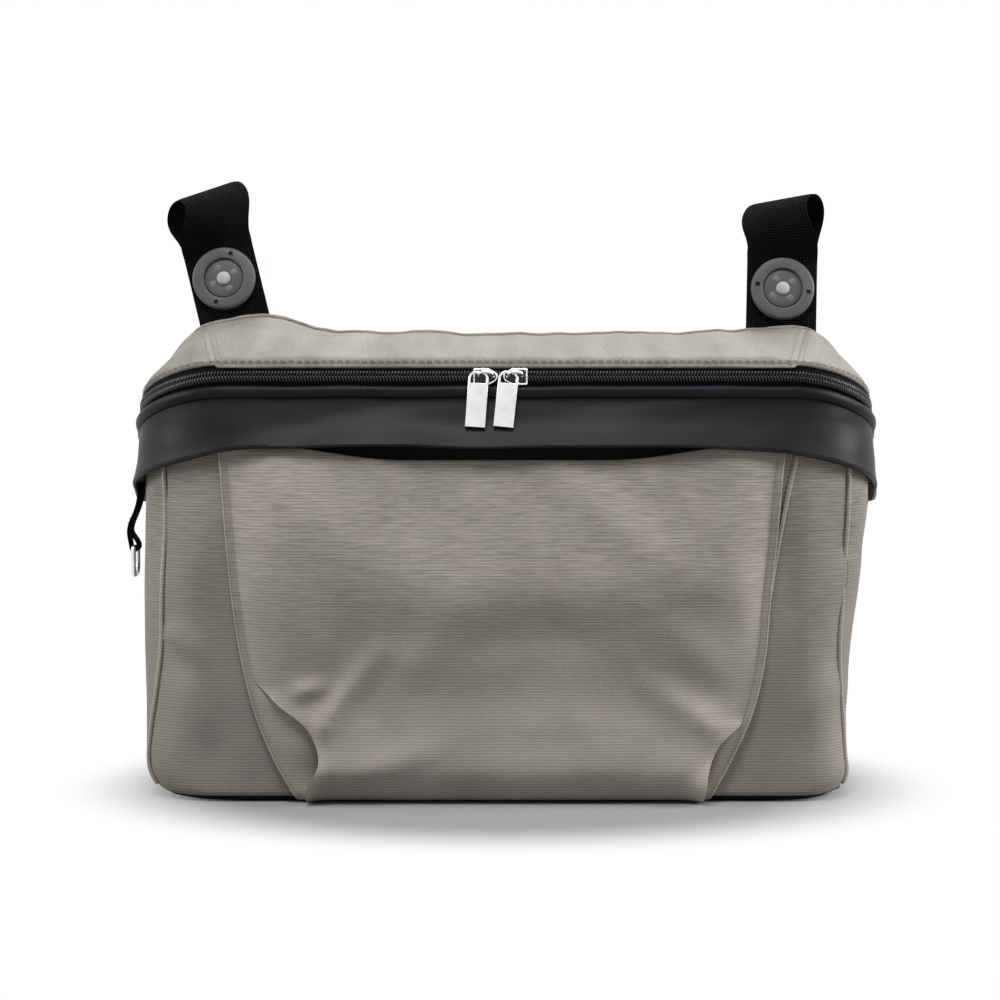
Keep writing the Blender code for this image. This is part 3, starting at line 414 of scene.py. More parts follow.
def add_loops(name, rings, material, closed=False):
    """Closed loops of points joined in order. Open ends are capped. Around and along are kept as UVs."""
    count = len(rings[0])
    points = [point for ring in rings for point in ring]
    spans = len(rings) if closed else len(rings) - 1
    faces = []
    for i in range(spans):
        first = i * count
        second = (i + 1) % len(rings) * count
        for j in range(count):
            k = (j + 1) % count
            faces.append((first + j, second + j, second + k, first + k))
    if not closed:
        faces.append(tuple(range(count)))
        faces.append(tuple(reversed(range(len(points) - count, len(points)))))
    along = 0.0
    uvs = []
    for i, ring in enumerate(rings):
        if i:
            along += (ring[0] - rings[i - 1][0]).length
        around = 0.0
        for j, point in enumerate(ring):
            if j:
                around += (point - ring[j - 1]).length
            uvs.append((around, along))
    return finish_mesh(name, points, faces, material, uvs)


def resample(path, step):
    """Points along a polyline at even steps, each with its direction."""
    made = []
    wait = 0.0
    for a, b in zip(path, path[1:]):
        length = (b - a).length
        if length < 1e-9:
            continue
        direction = (b - a) / length
        place = wait
        while place <= length:
            made.append((a + direction * place, direction))
            place += step
        wait = place - length
    return made


def round_links(points, faces, sides, count, mirrored=False):
    """Faces of the last count rings of points, joined in order and capped."""
    first = len(points) - count * sides
    last = len(points) - sides
    made = []
    for start in range(first, last, sides):
        for k in range(sides):
            a = start + k
            b = start + (k + 1) % sides
            made.append((a, b, b + sides, a + sides))
    made.append(tuple(first + k for k in reversed(range(sides))))
    made.append(tuple(last + k for k in range(sides)))
    faces += [tuple(reversed(face)) for face in made] if mirrored else made


def add_stitches(name, path, out, material, pitch=0.0032, length=0.0022):
    """A row of sewn stitches along a path: short round-ended threads that lie on the cloth."""
    points = []
    faces = []
    sides = 6
    radius = 0.0003
    profile = ((-0.5, 0.35), (-0.38, 1.0), (0.38, 1.0), (0.5, 0.35))
    for place, direction in resample(path, pitch):
        side = direction.cross(out).normalized()
        for share, width in profile:
            lift = radius * (0.55 if abs(share) < 0.45 else 0.0)
            for angle in turn_angles(sides):
                offset = side * math.cos(angle) + out * math.sin(angle)
                points.append(place + direction * (share * length) + out * lift + offset * radius * width)
        round_links(points, faces, sides, len(profile))
    return finish_mesh(name, points, faces, material)


def add_tube(name, path, radius, material, sides=10, closed=False):
    """A round rod along a path."""
    rings = []
    total = len(path)
    side = Vector((0.0, 0.0, 1.0))
    for i, point in enumerate(path):
        if closed:
            run = path[(i + 1) % total] - path[i - 1]
        else:
            run = path[min(i + 1, total - 1)] - path[max(i - 1, 0)]
        run.normalize()
        side = (side - run * side.dot(run)).normalized()
        other = run.cross(side)
        ring = []
        for angle in turn_angles(sides):
            ring.append(point + (side * math.cos(angle) + other * math.sin(angle)) * radius)
        rings.append(ring)
    return add_loops(name, rings, material, closed)


def add_lathe(name, profile, material, sides=64):
    """A turned solid: profile as (radius, height) from the middle of the face to the middle of the back."""
    rings = []
    for radius, height in profile:
        ring = []
        for angle in turn_angles(sides):
            ring.append(Vector((radius * math.cos(angle), -height, radius * math.sin(angle))))
        rings.append(ring)
    return add_loops(name, rings, material)


def apply_modifiers(piece):
    """Keeps the shape that the modifiers give."""
    bpy.context.view_layer.update()
    shape = piece.evaluated_get(bpy.context.evaluated_depsgraph_get())
    mesh = bpy.data.meshes.new_from_object(shape)
    piece.modifiers.clear()
    piece.data = mesh
    mesh.set_sharp_from_angle(angle=math.radians(40))


def seat(piece, shift, placing):
    """Shifts a piece's mesh from its own middle and sets the piece in its place."""
    piece.data.transform(Matrix.Translation(shift))
    piece.matrix_world = placing
    return piece


def put_on(piece, body, *nodes):
    """Makes a piece ride on a body and stand for CAD nodes."""
    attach(piece, body)
    if nodes:
        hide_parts(*nodes)
    return piece


# Materials


class Shader:
    """A small helper that adds nodes to one Principled material."""

    def __init__(self, name, colour, roughness, specular=0.5, metallic=0.0):
        self.material = bpy.data.materials.new(name)
        self.material.use_nodes = True
        self.tree = self.material.node_tree
        self.main = self.tree.nodes["Principled BSDF"]
        self.main.inputs["Base Color"].default_value = (*colour, 1.0)
        self.main.inputs["Roughness"].default_value = roughness
        self.main.inputs["Specular IOR Level"].default_value = specular
        self.main.inputs["Metallic"].default_value = metallic

    def node(self, kind, **inputs):
        made = self.tree.nodes.new(kind)
        for key, value in inputs.items():
            made.inputs[key.replace("_", " ")].default_value = value
        return made

    def link(self, output, target):
        self.tree.links.new(output, target)

    def place(self, scale, source="Object"):
        """Texture coordinates, stretched by scale."""
        coordinates = self.tree.nodes.new("ShaderNodeTexCoord")
        mapping = self.node("ShaderNodeMapping", Scale=scale)
        self.link(coordinates.outputs[source], mapping.inputs["Vector"])
        return mapping.outputs["Vector"]

    def noise(self, scale, detail):
        made = self.node("ShaderNodeTexNoise", Scale=1.0, Detail=detail)
        self.link(self.place(scale), made.inputs["Vector"])
        return made.outputs["Fac"]

    def wave(self, scale, direction, distortion, source="Object"):
        """Straight bands with one turn for each unit of the stretched coordinate."""
        made = self.node("ShaderNodeTexWave", Scale=math.pi / 10.0, Distortion=distortion, Detail_Scale=1.5)
        made.bands_direction = direction
        self.link(self.place(scale, source), made.inputs["Vector"])
        return made.outputs["Fac"]

    def ramp(self, value, low, high, low_at=0.3, high_at=0.7):
        """Colour that changes from low to high between two values."""
        made = self.tree.nodes.new("ShaderNodeValToRGB")
        for element, colour, position in zip(made.color_ramp.elements, (low, high), (low_at, high_at)):
            element.position = position
            element.color = (*colour, 1.0)
        self.link(value, made.inputs["Fac"])
        return made.outputs["Color"]

    def span(self, value, from_min, from_max, to_min, to_max):
        """Moves a value from one range to another."""
        made = self.node(
            "ShaderNodeMapRange", From_Min=from_min, From_Max=from_max, To_Min=to_min, To_Max=to_max
        )
        self.link(value, made.inputs["Value"])
        return made.outputs["Result"]

    def times(self, *colours):
        """Product of colours."""
        total = colours[0]
        for colour in colours[1:]:
            made = self.tree.nodes.new("ShaderNodeMix")
            made.data_type = "RGBA"
            made.blend_type = "MULTIPLY"
            made.inputs["Factor"].default_value = 1.0
            self.link(total, made.inputs[6])
            self.link(colour, made.inputs[7])
            total = made.outputs[2]
        return total

    def sum(self, first, second, share):
        """first times share, plus second."""
        made = self.tree.nodes.new("ShaderNodeMath")
        made.operation = "MULTIPLY_ADD"
        made.inputs[1].default_value = share
        self.link(first, made.inputs[0])
        self.link(second, made.inputs[2])
        return made.outputs[0]

    def colour(self, output):
        self.link(output, self.main.inputs["Base Color"])

    def roughness(self, value, low, high):
        self.link(self.span(value, 0.0, 1.0, low, high), self.main.inputs["Roughness"])

    def bump(self, height, distance, strength):
        made = self.node("ShaderNodeBump", Strength=strength, Distance=distance)
        self.link(height, made.inputs["Height"])
        self.link(made.outputs["Normal"], self.main.inputs["Normal"])


def tinted(tone, *parts):
    return tuple(part * tone for part in parts)


def ribbed_canvas(name, tone):
    """Grey beige cloth with fine level ribs, short slubs high up and soft cloudy shading."""
    shader = Shader(name, tinted(tone, 0.225, 0.202, 0.177), 0.65, 0.18)
    ribs = shader.wave((9.0, 9.0, 660.0), "Z", 1.2)
    slubs = shader.noise((95.0, 95.0, 1300.0), 1.0)
    clouds = shader.noise((15.0, 15.0, 18.0), 4.0)
    fibres = shader.noise((1900.0, 1900.0, 1900.0), 1.0)
    dark = tinted(tone, 0.226, 0.205, 0.180)
    light = tinted(tone, 0.268, 0.243, 0.214)
    base = shader.ramp(ribs, dark, light, 0.15, 0.85)
    streaks = shader.ramp(slubs, (0.80, 0.80, 0.80), (1.26, 1.25, 1.22), 0.28, 0.74)
    height = shader.node("ShaderNodeSeparateXYZ")
    shader.link(shader.place((1.0, 1.0, 1.0)), height.inputs[0])
    upper = shader.span(height.outputs["Z"], 0.060, 0.135, 0.18, 1.0)
    toned = shader.times(base, streaks)
    shader.link(upper, toned.node.inputs["Factor"])
    cloudy = shader.ramp(clouds, (0.86, 0.86, 0.862), (1.11, 1.108, 1.10), 0.32, 0.68)
    grains = shader.ramp(fibres, (0.93, 0.93, 0.93), (1.07, 1.07, 1.07))
    shader.colour(shader.times(toned, cloudy, grains))
    shader.bump(shader.sum(ribs, fibres, 0.8), 0.0002, 0.35)
    shader.roughness(slubs, 0.55, 0.75)
    return shader.material


def lid_canvas():
    """The lid's cloth: smoother and lighter, with faint streaks from front to back."""
    shader = Shader("lid_canvas", (0.44, 0.40, 0.34), 0.6, 0.2)
    streaks = shader.noise((70.0, 7.0, 7.0), 3.0)
    weave = shader.noise((1300.0, 300.0, 300.0), 1.0)
    clouds = shader.noise((13.0, 20.0, 20.0), 3.0)
    base = shader.ramp(streaks, (0.226, 0.210, 0.182), (0.300, 0.280, 0.244))
    fine = shader.ramp(weave, (0.86, 0.86, 0.86), (1.1, 1.1, 1.1))
    cloudy = shader.ramp(clouds, (0.86, 0.86, 0.87), (1.1, 1.1, 1.08))
    shader.colour(shader.times(base, fine, cloudy))
    shader.bump(shader.sum(weave, streaks, 0.5), 0.0003, 0.4)
    shader.roughness(clouds, 0.55, 0.7)
    return shader.material


def webbing_cloth():
    """Black webbing: fine lengthwise cords crossed by close picks."""
    shader = Shader("webbing_cloth", (0.010, 0.010, 0.012), 0.75, 0.04)
    cords = shader.wave((620.0, 1.0, 1.0), "X", 0.6, "UV")
    picks = shader.wave((1.0, 760.0, 1.0), "Y", 0.8, "UV")
    clouds = shader.noise((60.0, 60.0, 60.0), 3.0)
    weave = shader.sum(cords, picks, 0.8)
    base = shader.ramp(weave, (0.0008, 0.0008, 0.0010), (0.0110, 0.0110, 0.0130), 0.4, 1.8)
    worn = shader.ramp(clouds, (0.75, 0.75, 0.75), (1.3, 1.3, 1.3))
    shader.colour(shader.times(base, worn))
    shader.bump(weave, 0.0009, 0.9)
    shader.roughness(weave, 0.7, 0.9)
    return shader.material


def mottled(name, colour, roughness, shades, clouds, gloss=None, grain=None, specular=0.5, metallic=0.0):
    """A material whose colour and roughness vary softly between two values, with a fine grain in relief."""
    shader = Shader(name, colour, roughness, specular, metallic)
    patches = shader.noise(*clouds)
    shader.colour(shader.ramp(patches, *shades))
    if gloss:
        shader.roughness(patches, *gloss)
    if grain:
        scale, detail, distance, strength = grain
        shader.bump(shader.noise(scale, detail), distance, strength)
    return shader.material


def cuff_cloth():
    """Smooth dark coated cloth with a soft sheen and faint grain."""
    return mottled(
        "cuff_cloth", (0.045, 0.041, 0.046), 0.42,
        shades=((0.010, 0.0080, 0.0105), (0.019, 0.0155, 0.0195)),
        clouds=((16.0, 16.0, 26.0), 3.0),
        gloss=(0.36, 0.52),
        grain=((900.0, 900.0, 900.0), 2.0, 0.0002, 0.25),
        specular=0.12,
    )


def black_cloth(name, roughness):
    """Plain black woven cloth."""
    return mottled(
        name, (0.012, 0.011, 0.014), roughness,
        shades=((0.003, 0.003, 0.004), (0.008, 0.007, 0.010)),
        clouds=((40.0, 40.0, 60.0), 2.0),
        gloss=(roughness - 0.12, roughness + 0.05),
        grain=((1500.0, 1500.0, 1500.0), 2.0, 0.0003, 0.5),
        specular=0.12,
    )


def coil_plastic():
    """Glossy near-black plastic."""
    return mottled(
        "coil_plastic", (0.014, 0.014, 0.017), 0.38,
        shades=((0.006, 0.006, 0.007), (0.016, 0.016, 0.020)),
        clouds=((300.0, 300.0, 300.0), 2.0),
        gloss=(0.25, 0.45),
        specular=0.35,
    )


def snap_plastic(name, shade):
    """Grey satin plastic with a fine moulded grain."""
    return mottled(
        name, tinted(shade, 1.0, 1.0, 1.05), 0.45,
        shades=(tinted(shade * 0.84, 1.0, 1.0, 1.05), tinted(shade * 1.18, 1.0, 1.0, 1.05)),
        clouds=((90.0, 90.0, 90.0), 3.0),
        gloss=(0.38, 0.55),
        grain=((1400.0, 1400.0, 1400.0), 2.0, 0.0001, 0.3),
        specular=0.25,
    )


def polished_metal():
    """Bright plated metal with faint brushing and small differences in gloss."""
    return mottled(
        "polished_metal", (0.80, 0.80, 0.81), 0.16,
        shades=((0.74, 0.74, 0.75), (0.86, 0.86, 0.87)),
        clouds=((150.0, 150.0, 150.0), 2.0),
        gloss=(0.12, 0.26),
        grain=((300.0, 300.0, 2500.0), 2.0, 0.00003, 0.3),
        metallic=1.0,
    )


def board_plastic():
    """Plain dark board."""
    return mottled(
        "board_plastic", (0.060, 0.060, 0.065), 0.6,
        shades=((0.050, 0.050, 0.054), (0.075, 0.075, 0.080)),
        clouds=((200.0, 200.0, 200.0), 3.0),
    )


def thread(name, colour):
    """Twisted sewing thread."""
    twist = ((1800.0, 1800.0, 1800.0), 1.0)
    return mottled(
        name, colour, 0.55,
        shades=(tinted(0.7, *colour), colour),
        clouds=twist,
        grain=(*twist, 0.0001, 0.5),
    )


# Cloth shells of the body


def at_seam(u, z):
    """Station u at height z, moved so that the front-to-side seams lean outward low down."""
    nearest = min(u, 6.0 - u)
    lean = SEAM_LEAN * smooth((SEAM_LEAN_TOP - z) / SEAM_LEAN_TOP)
    lean *= max(0.0, 1.0 - abs(nearest - SEAM_STATION) / SEAM_LEAN_STATIONS)
    return u - lean if u < 3.0 else u + lean


def wall_top(u):
    """Height at which the wall's cloth ends under the zip tape."""
    return ZIP_FRONT_Z - zip_drop(u) - LOWER_TAPE_EDGE - GAP


def wall_calm(u, z):
    """Share of the wall's unevenness: none at its lower and upper edge."""
    return smooth((z - 0.004) / 0.02) * smooth((wall_top(u) - z) / 0.02)


def add_walls(canvas, highlight_canvas):
    """Front and side cloth with soft unevenness, and the raised seams between them, in a lighter canvas that
    paints a highlight on their ridges.
    """
    bottom = BASE_THICKNESS + GAP
    heights = spread(bottom, SIDE_EDGE_ROUND, 8)
    rows_above = 44
    parts = (
        ("left_side_shell", 0.03, SEAM_STATION, ("left_side_panel",)),
        ("front_shell", SEAM_STATION, 6.0 - SEAM_STATION, ("front_panel",)),
        ("right_side_shell", 6.0 - SEAM_STATION, 5.97, ("right_side_panel",)),
    )
    for name, start, end, nodes in parts:
        marks = side_stations(start, end, 22)
        grid = []
        for i in range(len(heights) + rows_above):
            row = []
            for mark in marks:
                if i < len(heights):
                    z = heights[i]
                else:
                    z = lerp(heights[-1], wall_top(mark), (i - len(heights) + 1) / rows_above)
                u = at_seam(mark, z)
                point = wall_at(u, z)
                rise = uneven(point, WALL_HILLS)
                if point.y < 0.0:
                    rise += crease_height(WALL_CREASES, point.x, z) * CREASE_SCALE
                row.append(point + outward_at(u, z) * (rise * wall_calm(mark, z)))
            grid.append(row)
        shell = add_grid(name, grid, canvas, WALL * 0.6)
        put_on(shell, "bag", *nodes)
    for name, u in (("left_front_seam", SEAM_STATION), ("right_front_seam", 6.0 - SEAM_STATION)):
        path = []
        for z in spread(bottom + SEAM_FOOT, band_low_z(u) + SEAM_UNDER_BAND, 90):
            place = wall_at(at_seam(u, z), z)
            rise = uneven(place, WALL_HILLS) * wall_calm(u, z) + SEAM_RISE
            path.append(place + outward_at(at_seam(u, z), z) * rise)
        # The seam is in the much lighter canvas: a painted highlight on its ridge.
        put_on(add_tube(name, path, SEAM_RADIUS, highlight_canvas), "bag")


def lid_mid_z(y):
    """Height of the lid's middle line at depth y."""
    t = (y - FRONT_Y) / (BACK_Y - FRONT_Y)
    front_z = ZIP_FRONT_Z + LID_EDGE + LID_EDGE_RISE
    return lerp(front_z, LID_BACK_Z, t) + LID_CROWN * math.sin(math.pi * t)


def lid_row(u):
    """Half width, depth position and edge height of the lid at station u."""
    edge = zip_at(u, LID_EDGE, LID_OUT)
    return abs(edge.x), edge.y, edge.z


def lid_z(x, half, y, edge_z):
    """Height of the lid's cloth, in a row that ends at half and edge_z."""
    inward = min(1.0, max(0.0, (half - abs(x)) / LID_ROLL))
    depth = (y - FRONT_Y) / (BACK_Y - FRONT_Y)
    hump = 0.0
    for middle, width, height in LID_HUMPS:
        hump += height * depth**2 * math.exp(-(((x - middle) / width) ** 2))
    from_edge = max(0.0, min(half - abs(x), y - FRONT_Y))
    short = 1.0 - min(1.0, from_edge / LID_EDGE_ROLL)
    rim_z = edge_z + LID_EDGE_RISE * math.sqrt(max(0.0, 1.0 - short**2))
    swell = lid_mid_z(y) + hump - edge_z - LID_EDGE_RISE
    z = rim_z + swell * math.sin(math.pi / 2.0 * inward)
    place = Vector((x, y, 0.0))
    z += ripple(place, *LID_WIDE_HILLS) * smooth(from_edge / 0.012)
    z += ripple(place, *LID_FINE_HILLS) * smooth(from_edge / 0.006)
    return z


def lid_seam_x(y):
    """Distance of the lid's seams from the middle at depth y."""
    return lerp(LID_SEAM_FRONT_X, LID_SEAM_BACK_X, (y - FRONT_Y) / (BACK_Y - FRONT_Y))


def lid_marks(front):
    """Stations of the lid's rows from front to back."""
    return list(reversed(spread(LID_BACK_STATION, front, 70)))


def seam_start():
    """Station at which the lid's edge meets its seam."""
    low, high = 1.0, 2.0
    for _ in range(24):
        middle = (low + high) / 2.0
        half, y, _ = lid_row(middle)
        if half > lid_seam_x(y):
            low = middle
        else:
            high = middle
    return low


def add_lid(canvas, thread_material):
    """The lid's middle and its two sloped ends, with sewn seams."""
    rows = []
    for u in lid_marks(2.0):
        half, y, edge_z = lid_row(u)
        end = min(half, lid_seam_x(y) - LID_SEAM_GAP)
        rows.append([Vector((x, y, lid_z(x, half, y, edge_z))) for x in spread(-end, end, 120)])
    put_on(add_grid("lid_cloth", rows, canvas, WALL * 0.6), "bag", "lid_panel")
    for side, sign in (("left", -1.0), ("right", 1.0)):
        rows = []
        for u in lid_marks(seam_start()):
            half, y, edge_z = lid_row(u)
            outer = max(half, lid_seam_x(y) + 0.0002)
            across = [lerp(lid_seam_x(y) + LID_SEAM_GAP, outer, share**0.8) for share in spread(0.0, 1.0, 24)]
            row = [Vector((sign * x, y, lid_z(sign * x, half, y, edge_z))) for x in across]
            if sign < 0.0:
                row.reverse()
            rows.append(row)
        put_on(add_grid(f"lid_{side}_end", rows, canvas, WALL * 0.6), "bag", f"lid_{side}_gusset")
        for line, offset in (("inner", -0.0032), ("outer", 0.0028)):
            path = []
            for u in lid_marks(2.0):
                half, y, edge_z = lid_row(u)
                x = lid_seam_x(y) + offset
                if half > x + 0.001:
                    path.append(Vector((sign * x, y, lid_z(sign * x, half, y, edge_z) + 0.0001)))
            up = Vector((0.0, -0.3, 0.95))
            put_on(add_stitches(f"lid_{side}_{line}_stitches", path, up, thread_material), "bag")
    path = [zip_at(u, LID_EDGE + 0.0022, LID_OUT - 0.0004) for u in side_stations(0.08, 5.92, 40)]
    put_on(add_stitches("lid_topstitch", path, FORWARD, thread_material, 0.0040, 0.0027), "bag")


def add_back(canvas):
    """The back wall, flat with a slight belly, and the piping round its edge."""
    rows = []
    half_top, _, edge_z = lid_row(0.0)
    for t in spread(0.0, 1.0, 40):
        row = []
        for s in spread(1.0, -1.0, 80):
            x_top = s * half_top
            top = lid_z(x_top, half_top, BACK_Y, edge_z) - 0.0006
            z = lerp(BASE_THICKNESS + GAP, top, t)
            side = wall_frame(6.0 if s > 0 else 0.0, z)[0].x
            point = Vector((abs(s) * side, BACK_Y, z))
            calm = smooth((1.0 - abs(s)) / 0.1) * smooth((1.0 - t) / 0.08) * smooth(t / 0.08)
            point.y -= 0.0004 + (0.0005 + ripple(point, *BACK_HILLS)) * calm
            row.append(point)
        rows.append(row)
    put_on(add_grid("back_shell", rows, canvas, WALL * 0.6), "bag", "back_panel")
    seam_y = BACK_Y - 0.0012
    heights = spread(BASE_THICKNESS + GAP, edge_z + LID_EDGE_RISE, 60)
    path = [Vector((wall_frame(0.0, z)[0].x, seam_y, z)) for z in heights]
    for share in spread(-0.995, 0.995, 150):
        x = share * half_top
        path.append(Vector((x, seam_y, lid_z(x, half_top, BACK_Y, edge_z))))
    path += [Vector((wall_frame(6.0, z)[0].x, seam_y, z)) for z in reversed(heights)]
    put_on(add_tube("back_seam_piping", path, 0.0013, canvas), "bag")


def plan_loop(z, inset):
    """Outline of the walls at height z, moved inward by inset."""
    return [wall_at(u, z, -inset) for u in side_stations(0.0, 6.0, 14)]


def add_lining(cloth):
    """The inner bag, which follows the slack walls."""
    inset = WALL + 0.0014
    floor_z = 0.0056
    rows = []
    marks = side_stations(0.10, 5.90, 10)
    for z in [*spread(0.0058, 0.030, 6), *spread(0.030, 0.176, 20)[1:]]:
        row = []
        for u in marks:
            point = wall_at(u, z, -inset)
            point -= outward_at(u, z) * abs(ripple(point, *LINING_HILLS))
            row.append(point)
        back = [Vector((x, BACK_Y - 0.0062, z)) for x in spread(row[-1].x, row[0].x, 50)]
        rows.append(row + back + [row[0]])
    rows.insert(0, [Vector((p.x * 0.90, p.y * 0.80, floor_z)) for p in rows[0]])
    rows.insert(0, [Vector((p.x * 0.02, p.y * 0.02, floor_z)) for p in rows[0]])
    put_on(add_grid("lining_cloth", rows, cloth, 0.0004), "bag", "lining")


def add_base(cloth):
    """The base with its rounded edge."""
    edge = ((0.0, 0.002), (0.0004, 0.0006), (0.0015, 0.0), (0.0026, 0.0007))
    rings = [list(reversed(plan_loop(z, inset))) for z, inset in edge]
    put_on(add_loops("base_cloth", rings, cloth), "bag", "base_panel")


# Front pocket


def follow(points, at):
    """A smooth curve through (at, value) points."""
    for i in range(len(points) - 1):
        if at <= points[i + 1][0] or i == len(points) - 2:
            break
    before = points[max(i - 1, 0)]
    start = points[i]
    end = points[i + 1]
    after = points[min(i + 2, len(points) - 1)]
    span = end[0] - start[0]
    t = min(1.0, max(0.0, (at - start[0]) / span))
    slope_in = (end[1] - before[1]) / (end[0] - before[0]) * span
    slope_out = (after[1] - start[1]) / (after[0] - start[0]) * span
    value = (2 * t**3 - 3 * t**2 + 1) * start[1] + (t**3 - 2 * t**2 + t) * slope_in
    return value + (3 * t**2 - 2 * t**3) * end[1] + (t**3 - t**2) * slope_out


def pocket_edge(z, sign):
    """Distance of the pocket's sewn edge from the middle at height z, left (-1) or right (1)."""
    return follow(POCKET_EDGES[sign], z)


# Soft ridges in the cloth, each from a start to an end as x and z
CREASE_SCALE = 1.7
CREASES = (
    {"start": (-0.092, 0.036), "end": (-0.062, 0.078), "width": 0.0060, "height": 0.0026},
    {"start": (-0.104, 0.055), "end": (-0.088, 0.060), "width": 0.0045, "height": 0.0018},
    {"start": (-0.080, 0.012), "end": (-0.020, 0.034), "width": 0.0080, "height": 0.0014},
    {"start": (-0.060, 0.050), "end": (-0.030, 0.088), "width": 0.0110, "height": 0.0012},
    {"start": (0.104, 0.038), "end": (0.066, 0.062), "width": 0.0080, "height": 0.0022},
    {"start": (0.110, 0.060), "end": (0.070, 0.098), "width": 0.0110, "height": 0.0014},
    {"start": (0.026, 0.166), "end": (0.090, 0.112), "width": 0.0140, "height": 0.0016},
    {"start": (0.060, 0.168), "end": (0.108, 0.128), "width": 0.0090, "height": 0.0010},
    {"start": (-0.116, 0.158), "end": (-0.050, 0.100), "width": 0.0160, "height": 0.0014},
    {"start": (-0.020, 0.080), "end": (0.050, 0.088), "width": 0.0140, "height": -0.0010},
)
WALL_CREASES = (
    {"start": (-0.166, 0.086), "end": (-0.150, 0.070), "width": 0.0050, "height": 0.0018},
    {"start": (-0.160, 0.060), "end": (-0.146, 0.030), "width": 0.0080, "height": 0.0012},
    {"start": (-0.164, 0.150), "end": (-0.150, 0.105), "width": 0.0080, "height": 0.0012},
    {"start": (0.172, 0.120), "end": (0.156, 0.090), "width": 0.0070, "height": 0.0014},
    {"start": (0.166, 0.060), "end": (0.142, 0.040), "width": 0.0090, "height": 0.0010},
)


def crease_height(creases, x, z):
    """How far the ridges lift the cloth at x and z."""
    height = 0.0
    for crease in creases:
        start = Vector(crease["start"])
        run = Vector(crease["end"]) - start
        t = (Vector((x, z)) - start).dot(run) / run.length_squared
        nearest = start + run * min(1.0, max(0.0, t))
        away = (Vector((x, z)) - nearest).length / crease["width"]
        fade = smooth((t + 0.3) / 0.5) * smooth((1.3 - t) / 0.9)
        height += crease["height"] * math.exp(-(away**2)) * fade
    return height


def pocket_swell(x, z):
    """How far the middle of the pocket's face stands off the front wall."""
    depth = follow(POCKET_SWELL, z) * (1.0 - 0.16 * (x / POCKET_TOP_HALF) ** 2)
    rise = crease_height(CREASES, x, z) * CREASE_SCALE + uneven(Vector((x, 0.0, z)), POCKET_HILLS)
    return depth + rise * smooth((z - POCKET_LOW_Z) / 0.020)


def face_rise(inward, reach):
    """How far the face has swelled from the fold's depth (0) to its full depth (1)."""
    return 1.0 - (1.0 - min(1.0, inward / reach)) ** 2.2


def pocket_side(z, sign):
    """One side of a row: from the sewn edge over the under layer, round the fold and inward on the face."""
    tuck = TUCKS[sign]
    edge = pocket_edge(z, sign)
    folded = smooth((tuck["top_z"] - z) / 0.014)
    unfolded = edge - 0.0030
    fold = min(unfolded, follow(tuck["fold"], z))
    fold = lerp(unfolded, fold, smooth((tuck["top_z"] + 0.004 - z) / 0.010))
    under = fold - max(0.0004, tuck["under"] * folded)
    open_mouth = math.exp(-(((z - tuck["mouth_z"]) / tuck["mouth"]) ** 2)) * folded
    lip_depth = 0.0034 + (0.0064 + 0.0090 * open_mouth) * folded
    rows = [(edge + out, depth) for out, depth in POCKET_HEM]
    for share in spread(0.0, 1.0, 7)[1:]:
        belly = 0.0022 * math.sin(math.pi * min(1.0, share * 1.3)) * folded
        depth = 0.0033 + belly * (1.0 - 0.8 * open_mouth * share) - 0.0027 * open_mouth * share
        rows.append((lerp(edge - 0.0014, under, share), depth))
    rows.append((fold - max(0.0002, 0.0040 * folded), lerp(0.0033, lip_depth, 0.55)))
    rows.append((fold - 0.0004 * folded, lip_depth - 0.0009 * folded))
    rows.append((fold, lip_depth))
    reach = lerp(0.026, 0.013, folded)
    for inward in FACE_STEPS:
        x = fold - inward
        rows.append((x, lerp(lip_depth, pocket_swell(sign * x, z), face_rise(inward, reach))))
    wall_y = FRONT_Y + edge_tuck(max(z, 0.0), FRONT_EDGE_ROUND)
    return [Vector((sign * x, wall_y - depth, z)) for x, depth in rows], reach, fold, lip_depth


def raised_end(point):
    """The pocket's top rises towards its ends, up behind the band."""
    share = smooth((abs(point.x) - 0.050) / 0.075) * smooth((point.z - 0.120) / 0.050)
    return point + Vector((0.0, 0.0, MOUTH_END_RISE * share))


def pocket_row(z):
    """Points across the pocket at height z, from left to right."""
    left, left_reach, left_fold, left_lip = pocket_side(z, -1.0)
    right, right_reach, right_fold, right_lip = pocket_side(z, 1.0)
    wall_y = FRONT_Y + edge_tuck(max(z, 0.0), FRONT_EDGE_ROUND)
    middle = []
    for x in spread(left[-1].x, right[-1].x, 110)[1:-1]:
        if x < 0.0:
            inward, reach, lip = left_fold + x, left_reach, left_lip
        else:
            inward, reach, lip = right_fold - x, right_reach, right_lip
        depth = lerp(lip, pocket_swell(x, z), face_rise(inward, reach))
        middle.append(Vector((x, wall_y - depth, z)))
    return [raised_end(point) for point in left + middle + list(reversed(right))]


